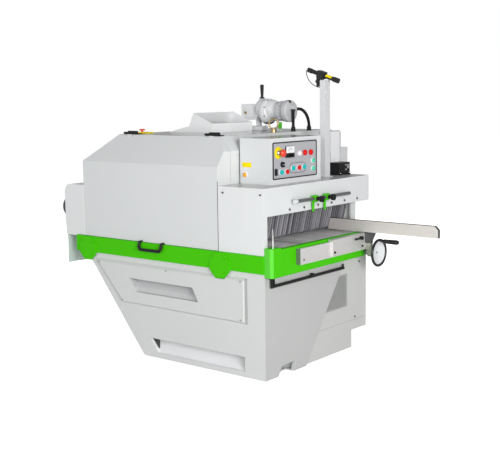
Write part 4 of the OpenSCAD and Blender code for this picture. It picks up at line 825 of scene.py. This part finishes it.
paper_white = finish("plain_paper", (0.80, 0.80, 0.82), 0.55, 0.0, "moulded", drift=0.03)
notice = make_piece("blank_sheet", [paper(0.648, 0.763, 1.240, 1.454, 0.157)],
                    paper_white, crease=60)


# %% Band on the laser
def barrel_label(start, end, first, last, radius):
    """A band round the laser's barrel: a point of its axis plus radius times cosine and sine of the angle."""
    up = np.array([math.sin(TAIL), 0, math.cos(TAIL)])
    near = np.array([0, -1.0, 0])
    angles = np.radians(np.linspace(first, last, 24))
    s, a = np.meshgrid(np.linspace(start, end, 8), angles, indexing="ij")
    middle = LASER - s[..., None] * TAIL_DIR
    ring = np.cos(a)[..., None] * up + np.sin(a)[..., None] * near
    inner = radius + SEAT
    return thin_wall(middle + (inner + LABEL_WALL) * ring, middle + inner * ring)


label = barrel_label(0.024, 0.072, -15, 88, 0.014)
make_piece("blank_laser_label", [label], signal_yellow, crease=60)

# %% [markdown]
# ## Small metalwork
# Screws, plugs and caps are what tells a machine from a box. A socket screw is a turned head with a
# recess sunk into it, and a whole row of them is one mesh. The rail's screw is flush, because the
# fence's carriage slides over it.

# %% Socket screws
def socket_screw(base, axis, head):
    """Head profile up the side, over the rim, down into the recess and back to the axis."""
    r = head / 2
    shape = [(0, SEAT), (r, SEAT), (r, 0.55 * r), (0.9 * r, 0.7 * r), (0.55 * r, 0.7 * r),
             (0.5 * r, 0.25 * r), (0, 0.25 * r)]
    return turned(shape, base, axis, 18)


def screw_row(name, spots, axis, head, metal, body="frame"):
    """One mesh of like screws at several spots."""
    return make_piece(name, [socket_screw(spot, axis, head) for spot in spots], metal, body)


COVER_X = (0.174, -1.022)
COVER_Z = 0.685
COVER_FACE = 0.602
COVER_RING = 0.062
blackened = finish("blackened_screw", (0.035, 0.035, 0.038), 0.36, 0.8, "smooth", drift=0.2)
cover_screws = []
for middle in COVER_X:
    for a in np.radians([45, 135, 225, 315]):
        x, z = middle + COVER_RING * math.cos(a), COVER_Z + COVER_RING * math.sin(a)
        cover_screws.append(socket_screw((x, -COVER_FACE, z), "-y", 0.010))
        cover_screws.append(socket_screw((x, COVER_FACE, z), "+y", 0.010))
make_piece("shaft_cover_screws", cover_screws, green_coat)
flush_head = [(0, 0.00005), (0.0068, 0.00005), (0.0070, 0.00012), (0.0066, 0.00025), (0.0030, 0.00025),
              (0.0026, 0.00012), (0, 0.00012)]
make_piece("rail_screw", [turned(flush_head, (0.578, -0.270, 0.712), "+x", 24)], blackened)
screw_row("carriage_screws", [(0.597, y, 0.716) for y in (0.044, 0.374)], "+x", 0.014, blackened, "fence")
screw_row("fence_bolts", [(x, 0.408, 0.842) for x in (0.585, 0.665)], "+y", 0.016, blackened, "fence")
FOOT_TOP = 1.5000
foot_spots = [(x, y, FOOT_TOP) for x in (-0.306, -0.240) for y in (0.363, 0.417)]
screw_row("gear_foot_bolts", foot_spots, "+z", 0.014, turned_steel)
supply_spots = [(x, y, 1.1832) for x in (0.2912, 0.3768) for y in (0.446, 0.550)]
screw_row("supply_foot_screws", supply_spots, "+z", 0.008, bright_chrome)

# %% [markdown]
# Each hinge of the door has a raised black block behind its barrel. The oil plug of the gear unit is a
# brass hexagon, and the rod of the width pointers ends in a hollow white cap.

# %% Hinge blocks
HINGES = np.array([[-0.715, -0.4570, ROOF], [0.012, -0.4570, ROOF]])
BLOCK_LOW = [-0.042, 0.0115, 0.0061]
BLOCK_HIGH = [0.034, 0.040, 0.0225]
blocks = [slab(hinge + BLOCK_LOW, hinge + BLOCK_HIGH, 0.004) for hinge in HINGES]
make_piece("hinge_blocks", blocks, black_moulded)

# %% Oil plug and rod cap
plug_levels = [(0.0, SEAT), (0.95, SEAT), (1, 0.001), (1, 0.006), (0.92, 0.0075), (0.0, 0.0075)]
make_piece("oil_plug", [hexagon(0.017, (-0.352, 0.332, 1.596), "-y", plug_levels)], brass)
cap_profile = [(0, 0), (0.0128, 0), (0.0135, 0.0012), (0.0135, 0.026), (0.0125, 0.028), (0.0113, 0.028),
               (0.0113, 0.0061), (0, 0.0061)]
cap = turned(cap_profile, (0.544, -0.3212, 1.073), "+y", 28)
make_piece("pointer_rod_cap", [cap], white_coat)

# %% [markdown]
# The gear unit is a stack of castings. A wide flange goes round its body, its foot is a thick
# plate, and a sole closes the gearbox from below. The flange is a ring turned about the shaft's
# line, with a row of screws on its face.

# %% Gear unit castings
SHAFT_Y, SHAFT_Z = 0.390, 1.603
FLANGE_SCREWS = 8
FLANGE_RING = 0.0825
casting = cast_enamel("casting_enamel", (0.72, 0.73, 0.74), zones=[
    # painted shade: a near-black band on the flange's underside
    ({"x": (-0.262, -0.150), "z": (1.5050, 1.5285)}, (0.06, 0.06, 0.064), 0.5, 0.0),
])
flange_profile = [(0.050, 0), (0.062, 0), (0.076, 0.014), (0.087, 0.024), (0.0895, 0.030), (0.0895, 0.056),
                  (0.087, 0.060), (0.078, 0.061), (0.066, 0.074), (0.050, 0.078), (0.050, 0)]
flange = turned(flange_profile, (-0.236, SHAFT_Y, SHAFT_Z), "+x", 72)
make_piece("gear_flange", [flange], casting)
ring_angle = 2 * math.pi * (np.arange(FLANGE_SCREWS) + 0.5) / FLANGE_SCREWS
flange_spots = [(-0.1755, SHAFT_Y + FLANGE_RING * math.cos(a), SHAFT_Z + FLANGE_RING * math.sin(a))
                for a in ring_angle]
screw_row("gear_flange_screws", flange_spots, "+x", 0.010, blackened)
foot = slab((-0.318, 0.352, ROOF + 0.0002), (-0.228, 0.428, FOOT_TOP), 0.003)
sole = slab((-0.391, 0.337, 1.5460), (-0.262, 0.443, 1.5640), 0.004)
make_piece("gear_foot_plate", [foot, sole], casting)

# %% [markdown]
# The laser's supply is a small black box. Ribs on two of its sides, two bright fuse holders and a grey
# switch, all plain plates and turned shapes, are what it shows.

# %% Laser supply details
SUPPLY_END = 0.3721
RIB_W = 0.005
ribs = np.arange(6)
end_ribs = [slab((0.3722, y, 1.212), (0.3734, y + RIB_W, 1.246), 0.0006) for y in 0.444 + 0.0085 * ribs]
side_ribs = [slab((x, 0.4288, 1.204), (x + RIB_W, 0.4299, 1.240), 0.0005) for x in 0.305 + 0.0095 * ribs]
make_piece("supply_ribs", end_ribs + side_ribs, black_moulded)
fuse = [(0, 0), (0.0075, 0), (0.0075, 0.004), (0.0058, 0.007), (0, 0.0074)]
fuses = [turned(fuse, (SUPPLY_END, 0.512, z), "+x", 24) for z in (1.238, 1.208)]
make_piece("supply_fuses", fuses, bright_chrome)
switch_levels = [(0, 0), (0, 0.003), (0.001, 0.004), (0.004, 0.0032)]
switch = plate((SUPPLY_END, 0.542, 1.228), "+x", 0.020, 0.028, 0.003, switch_levels)
switch_grey = finish("grey_switch_plastic", (0.30, 0.30, 0.31), 0.35, 0.0, "moulded", drift=0.08)
make_piece("supply_switch", [switch], switch_grey)

# %% [markdown]
# ## Finishes for the solids
# Now each solid gets its finish. Several carry more than one: the handwheel is a pale dished disc in a
# black rim, the fence bar is ground steel with darker top and end faces, the laser has a metal tail.
# Zones pick those out by place, measured in the machine's own frame. Other zones hold painted shade
# and painted highlights, said where they stand.

# %% Steel with zones
WHEEL_LINE = {"line": (0, 0.464, 0.664), "across": (0, 1, 1)}
BRACKET = {"x": (0.5925, None), "y": (0.392, None)}
DARKER_FACE = (0.05, 0.05, 0.05)
handwheel_coat = finish("handwheel_enamel", (0.78, 0.80, 0.81), 0.34, 0.0, "cast", drift=0.04, zones=[
    ({**WHEEL_LINE, "x": (0.650, None), "r": (0.0765, None)}, BLACK, 0.30, 0.0),
    ({"x": (0.683, None)}, BLACK, 0.36, 0.0),
    ({"x": (None, 0.6355)}, (0.42, 0.42, 0.43), 0.34, 0.9),
    ({**WHEEL_LINE, "x": (0.6355, 0.683), "r": (None, 0.008)}, (0.22, 0.22, 0.23), 0.34, 0.6),
])
fence_steel = finish("fence_ground_steel", (0.78, 0.735, 0.71), 0.44, 0.45, "along_x", drift=0.14, zones=[
    # the top face and both end faces of the bar are darker
    ({"z": (0.8872, None)}, DARKER_FACE, 0.5, 0.6),
    ({"nx": (None, -0.5)}, (0.06, 0.06, 0.06), 0.5, 0.6),
    ({"nx": (0.3, None)}, DARKER_FACE, 0.5, 0.6),
])
GROUND = (0.76, 0.745, 0.735)
carriage_steel = finish("carriage_ground_steel", GROUND, 0.40, 0.5, "along_y", drift=0.10, zones=[
    ({**BRACKET, "z": (0.730, None)}, (0.10, 0.10, 0.105), 0.55, 0.1),
    ({**BRACKET, "z": (None, 0.730)}, (0.46, 0.46, 0.40), 0.50, 0.1),
    ({"x": (0.5925, None), "y": (None, 0.384)}, (0.05, 0.05, 0.052), 0.45, 0.6),
])
# painted light: the table's steel is made nearly white so that it looks lit under the hood
table_steel = finish("table_ground_steel", (0.97, 0.945, 0.93), 0.46, 0.10, "along_x", drift=0.12,
                     bars=(-0.540, 0.072, 0.28), zones=[
    # painted shade: the floors of the grooves are darker
    ({"x": (0.2415, None), "z": (None, 0.7995)}, (0.34, 0.33, 0.325), 0.55, 0.25),
])
rod_steel = finish("dark_rod_steel", (0.20, 0.20, 0.21), 0.34, 0.6, "along_y", drift=0.12)
finger_steel = finish("finger_plate_steel", (0.29, 0.285, 0.31), 0.50, 0.10, "along_z", drift=0.20,
                      bars=(-0.5574, 0.0248, 0.60))
print("steel ready")

# %% Enamel with zones
beam_coat = green_enamel("beam_green_enamel", zones=[
    ({"z": (0.8185, None)}, (0.78, 0.78, 0.76), 0.40, 0.0),
    # painted highlight: a lighter green on the near faces of the corner block
    ({"x": (0.515, None), "y": (None, -0.5775)}, (0.12, 0.66, 0.05), 0.40, 0.0),
])
pointer_coat = green_enamel("pointer_green_enamel", soft_edge=0.001, zones=[
    ({"x": (0.5625, None)}, (0.016, 0.016, 0.018), 0.45, 0.0),
])
gear_coat = cast_enamel("gear_unit_enamel", (0.70, 0.71, 0.72), zones=[
    ({"x": (None, -0.300)}, (0.80, 0.81, 0.82), 0.40, 0.0),
    ({"x": (-0.086, -0.062), "y": (0.359, 0.373), "z": (1.484, 1.529)}, GREEN, 0.36, 0.0),
    # painted shade: near black under the variator's barrel
    ({"x": (-0.262, -0.178), "z": (1.500, 1.556)}, (0.05, 0.05, 0.052), 0.5, 0.0),
])
laser_coat = finish("laser_black_enamel", (0.016, 0.016, 0.018), 0.40, 0.0, "moulded", drift=0.2, zones=[
    ({"x": (None, 0.2275)}, (0.30, 0.30, 0.31), 0.35, 0.8),
])
print("enamel ready")

# %% Powder coat with zones
TOP = {"nz": (0.7, None)}
PLAIN = (0.42, 0.0)
CABINET = (0.44, 0.0)
LOW_POCKET = {"x": (None, 0.440), "y": (-0.5835, -0.470), "z": (0.036, 0.20)}
HIGH_POCKET = {"x": (None, 0.300), "y": (-0.584, -0.500)}
roof_coat = powder_coat("housing_powder_coat", settings=SATIN, zones=[
    # painted shade: the roof's top is painted a darker grey; its gloss is real
    ({"z": (1.4672, None)}, (0.44, 0.445, 0.45), 0.14, 0.0, 0.5),
    ({"x": (0.150, None), "y": (0.559, None)}, (0.56, 0.57, 0.575), *PLAIN),
])
box_coat = powder_coat("control_box_coat", settings=SATIN, zones=[
    # painted shade: the control box's top is painted a darker grey
    (TOP, (0.38, 0.385, 0.39), 0.18, 0.0, 0.5),
])
hood_coat = powder_coat("infeed_hood_coat", settings=SATIN, zones=[
    # painted shade: the hood's top is painted a darker grey
    ({**TOP, "z": (1.16, None)}, (0.52, 0.525, 0.53), 0.24, 0.0, 0.3),
    ({"y": (None, -0.5835)}, (0.76, 0.775, 0.78), *PLAIN),
    # painted light: the far jamb's inner face in the mouth is painted near white
    ({"x": (None, 0.3955), "y": (0.55, 0.57), "z": (None, 1.01)}, (0.97, 0.98, 0.98), *PLAIN),
])
outfeed_coat = powder_coat("outfeed_hood_coat", (0.77, 0.785, 0.79), zones=[
    ({"x": (None, -1.2615)}, (0.10, 0.10, 0.105), 0.45, 0.3),
    # painted highlight: a pale strip along the hood's edge next to the housing
    ({"x": (-1.070, None), "z": (None, 1.118)}, (0.86, 0.87, 0.875), 0.40, 0.0),
])
post_coat = powder_coat("post_powder_coat", (0.71, 0.72, 0.725), drift=0.03, soft_edge=0.002, zones=[
    # painted shade: the faces towards +X are darker
    ({"nx": (0.5, None)}, (0.64, 0.65, 0.655), *PLAIN),
])
# painted light: the chute is lighter than the white coat, and lighter still on faces towards +X
chute_coat = powder_coat("chute_powder_coat", (0.88, 0.89, 0.895), drift=0.03, zones=[
    ({"nx": (0.3, None)}, (0.93, 0.94, 0.945), *PLAIN),
])
vent_coat = powder_coat("vent_powder_coat", (0.40, 0.405, 0.40), 0.46, drift=0.04, soft_edge=0.0)
door_coat = powder_coat("door_powder_coat", zones=[
    ({"x": (0.1525, None), "y": (None, -0.5835), "z": (None, 1.20)}, (0.10, 0.10, 0.105), 0.6, 0.0),
])
cabinet_coat = powder_coat("cabinet_powder_coat", (0.66, 0.67, 0.665), 0.44, zones=[
    # painted shade: faces towards +X are darker, a little less so between x 0.47 and 0.50
    ({"x": (0.500, None), "nx": (0.5, None)}, (0.50, 0.505, 0.50), *CABINET),
    ({"x": (0.470, 0.500), "nx": (0.5, None)}, (0.57, 0.575, 0.56), *CABINET),
    # painted shade and painted light: the low pocket's walls a little darker, its upward floor much lighter
    (LOW_POCKET, (0.64, 0.645, 0.63), *CABINET),
    ({**LOW_POCKET, "nz": (0.3, None)}, (0.84, 0.845, 0.86), *CABINET),
    # painted shadow: near black on the low pocket's left wall
    ({"x": (None, -0.380), "y": (-0.562, -0.470), "z": (0.06, 0.20), "nx": (0.4, None)},
     (0.07, 0.07, 0.07), 0.6, 0.0),
    # painted shade: the high pocket is darker inside, less so in its lower part
    ({**HIGH_POCKET, "z": (0.30, 0.60)}, (0.54, 0.545, 0.55), *CABINET),
    ({**HIGH_POCKET, "z": (0.30, 0.458)}, (0.595, 0.60, 0.605), *CABINET),
    # painted shade: the side cover's bevel towards +X is darker
    ({"x": (0.366, 0.384), "y": (None, -0.5845)}, (0.33, 0.333, 0.33), *CABINET),
    ({"x": (0.4925, 0.4955), "z": (0.1895, 0.1915)}, (0.28, 0.28, 0.275), 0.6, 0.0),
])
guard_coat = powder_coat("guard_powder_coat", (0.63, 0.64, 0.65), drift=0.03)
print("powder coats ready")

# %% Finishes of single solids
gear_motor_coat = cast_enamel("gear_motor_enamel", MOTOR_GREY, zones=[
    ({"x": (-0.012, None), "y": (0.362, 0.386), "z": (1.662, None)}, (0.03, 0.03, 0.032), 0.5, 0.0),
])
panel_grey = finish("panel_grey_enamel", (0.43, 0.435, 0.46), 0.40, 0.0, "peel", drift=0.05)
door_black = moulded_black("door_fittings_black", zones=[
    ({"y": (None, -0.4655), "z": (1.40, 1.4745)}, WHITE, *PLAIN),
])
selector_black = moulded_black("selector_plastic", zones=[
    ({"line": (0, -0.283, 1.293), "across": (0, 1, 1), "r": (None, 0.0055)}, (0.30, 0.30, 0.31), 0.40, 0.2),
])
zinc_screw = finish("zinc_screw", (0.16, 0.16, 0.17), 0.34, 0.5, "smooth", drift=0.12, zones=[
    ({"y": (None, -0.590), "z": (None, 0.64)}, (0.42, 0.42, 0.41), 0.34, 0.3),
])
zinc_foot = finish("zinc_foot", (0.72, 0.73, 0.70), 0.42, 0.2, "along_z", drift=0.10)
print("finishes:", len(bpy.data.materials))

# %% [markdown]
# One table says which solids wear which finish. The solids that it leaves out are those whose place
# the new pieces take.

# %% Dress every solid
DRESS = {
    cabinet_coat: ["base_cabinet", "side_cover"],
    guard_coat: ["belt_guard"],
    post_coat: ["laser_post"],
    chute_coat: ["dust_chute"],
    vent_coat: ["vent_panel"],
    hood_coat: ["infeed_hood"],
    box_coat: ["control_box"],
    outfeed_coat: ["outfeed_hood"],
    roof_coat: ["main_housing"],
    door_coat: ["side_door"],
    green_coat: ["bed_frame", "shaft_covers"],
    beam_coat: ["front_beam"],
    pointer_coat: ["near_pointer", "far_pointer"],
    table_steel: ["table_plates"],
    fence_steel: ["fence_bar"],
    carriage_steel: ["fence_carriage"],
    ground_y: ["fence_rail"],
    rod_steel: ["guide_rods"],
    turned_steel: ["saw_arbor", "motor_pulley", "infeed_sprockets", "outfeed_sprockets",
                   "infeed_roller", "outfeed_roller"],
    finger_steel: ["kickback_fingers"],
    ground_x: ["saw_blades"],
    cast_dark: ["feed_chain", "inner_supports"],
    gear_coat: ["gear_unit"],
    motor_grey: ["main_motor"],
    gear_motor_coat: ["gear_motor"],
    panel_grey: ["panel_plate"],
    black_enamel: ["trip_bar", "hinge_leaves", "laser_supply"],
    laser_coat: ["laser_unit"],
    black_moulded: ["clamp_lever", "gear_crank", "rocker_switch"],
    door_black: ["door_fittings"],
    selector_black: ["selector_knob"],
    handwheel_coat: ["handwheel"],
    black_rubber: ["drive_belts"],
    stop_red: ["panel_stop", "roof_stop"],
    red_plastic: ["halt_button", "pause_button"],
    teal_plastic: ["start_button", "up_button", "down_button"],
    signal_yellow: ["stop_box"],
    yellow_zinc: ["lifting_eye"],
    zinc_screw: ["screws"],
    zinc_foot: ["levelling_feet"],
}
for coat, names in DRESS.items():
    for name in names:
        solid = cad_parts[name]
        solid.data.materials.clear()
        solid.data.materials.append(coat)
bare = set(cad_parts) - {name for names in DRESS.values() for name in names}
print("left to new pieces:", sorted(bare))

# %% [markdown]
# ## Floor and light
# The photograph is a cut-out on white. A white floor and a white sky give that: the camera sees them
# at full white, while the light that they throw on the machine, and their mirror image in it, stay
# plain. The floor adds only part of its white by itself, so the machine's soft shadow still shows
# on it. Two lamps model the sheet metal: a wide one in front of the near side, and one beside the
# camera, low enough to shine in under the infeed hood. A third lights the back. It is hidden from
# mirrors, since its image in the glossy roof would be a white streak.

# %% Sky
PURE_WHITE = (1, 1, 1, 1)
SKY_LIGHT = 0.38


def seen_directly(tree):
    """1 for rays from the camera and through clear plastic, 0 for light that falls on things."""
    path = add(tree, "ShaderNodeLightPath").outputs
    return reckon(tree, "MAXIMUM", path["Is Camera Ray"], path["Is Transmission Ray"])


def choose(tree, otherwise, seen):
    """One shader for what is seen directly, and another for all other light."""
    shaders = {0: seen_directly(tree), 1: otherwise.outputs[0], 2: seen.outputs[0]}
    return add(tree, "ShaderNodeMixShader", shaders)


sky = bpy.data.worlds.new("studio_sky")
sky.use_nodes = True
tree = sky.node_tree
throw = tree.nodes["Background"]
feed(tree, throw, {0: PURE_WHITE, 1: SKY_LIGHT})
shown = add(tree, "ShaderNodeBackground", {0: PURE_WHITE, 1: 1.0})
feed(tree, tree.nodes["World Output"], {0: choose(tree, throw, shown).outputs[0]})
bpy.context.scene.world = sky
print("sky throws", SKY_LIGHT)

# %% Floor
FLOOR_HALF = 30
FLOOR_LINES = 5
FLOOR_Z = -0.0005
FLOOR_GREY = (0.80, 0.80, 0.80, 1)
FLOOR_GLOW = 0.72
ticks = np.linspace(-FLOOR_HALF, FLOOR_HALF, FLOOR_LINES)
u, v = np.meshgrid(ticks, ticks)
floor_points = np.stack([u, v, 0 * u + FLOOR_Z], axis=-1).reshape(-1, 3)
floor_faces = grid_faces(FLOOR_LINES, FLOOR_LINES, close_columns=False)
floor_mesh = bpy.data.meshes.new("studio_floor")
floor_mesh.from_pydata(floor_points.tolist(), [], floor_faces.tolist())
floor = bpy.data.objects.new("studio_floor", floor_mesh)
bpy.context.collection.objects.link(floor)
pale = bpy.data.materials.new("pale_floor")
pale.use_nodes = True
tree = pale.node_tree
tree.nodes.remove(tree.nodes["Principled BSDF"])
matt = add(tree, "ShaderNodeBsdfDiffuse", {0: FLOOR_GREY})
glow = add(tree, "ShaderNodeEmission", {0: PURE_WHITE, 1: FLOOR_GLOW})
blank = add(tree, "ShaderNodeEmission", {0: (0, 0, 0, 1), 1: 0.0})
total = add(tree, "ShaderNodeAddShader", {0: matt.outputs[0], 1: choose(tree, blank, glow).outputs[0]})
feed(tree, tree.nodes["Material Output"], {0: total.outputs[0]})
floor_mesh.materials.append(pale)
print("floor reaches", FLOOR_HALF, "metres each way")


# %% Lamps
def soft_lamp(name, place, aim, size, power):
    """A square lamp at a place, turned so that its -Z looks at the aim."""
    lamp = bpy.data.lights.new(name, "AREA")
    lamp.shape = "SQUARE"
    lamp.size = size
    lamp.energy = power
    item = bpy.data.objects.new(name, lamp)
    away = np.subtract(place, aim) / np.linalg.norm(np.subtract(place, aim))
    flat = np.cross([0, 0, 1], away)
    flat = flat / np.linalg.norm(flat)
    item.matrix_world = placed(flat, np.cross(away, flat), away, place)
    bpy.context.collection.objects.link(item)
    return item


soft_lamp("near_side_lamp", (0.6, -14.0, 2.6), (-0.3, -0.5, 0.9), 9.0, 580)
soft_lamp("infeed_lamp", (7.4, -4.4, 2.2), (0.45, 0.0, 1.0), 3.0, 500)
back_lamp = soft_lamp("back_lamp", (-5.0, 4.5, 2.4), (-0.3, 0.2, 0.9), 3.5, 170)
back_lamp.visible_glossy = False
bpy.context.scene.view_settings.view_transform = "Standard"
print("lamps:", len(bpy.data.lights))
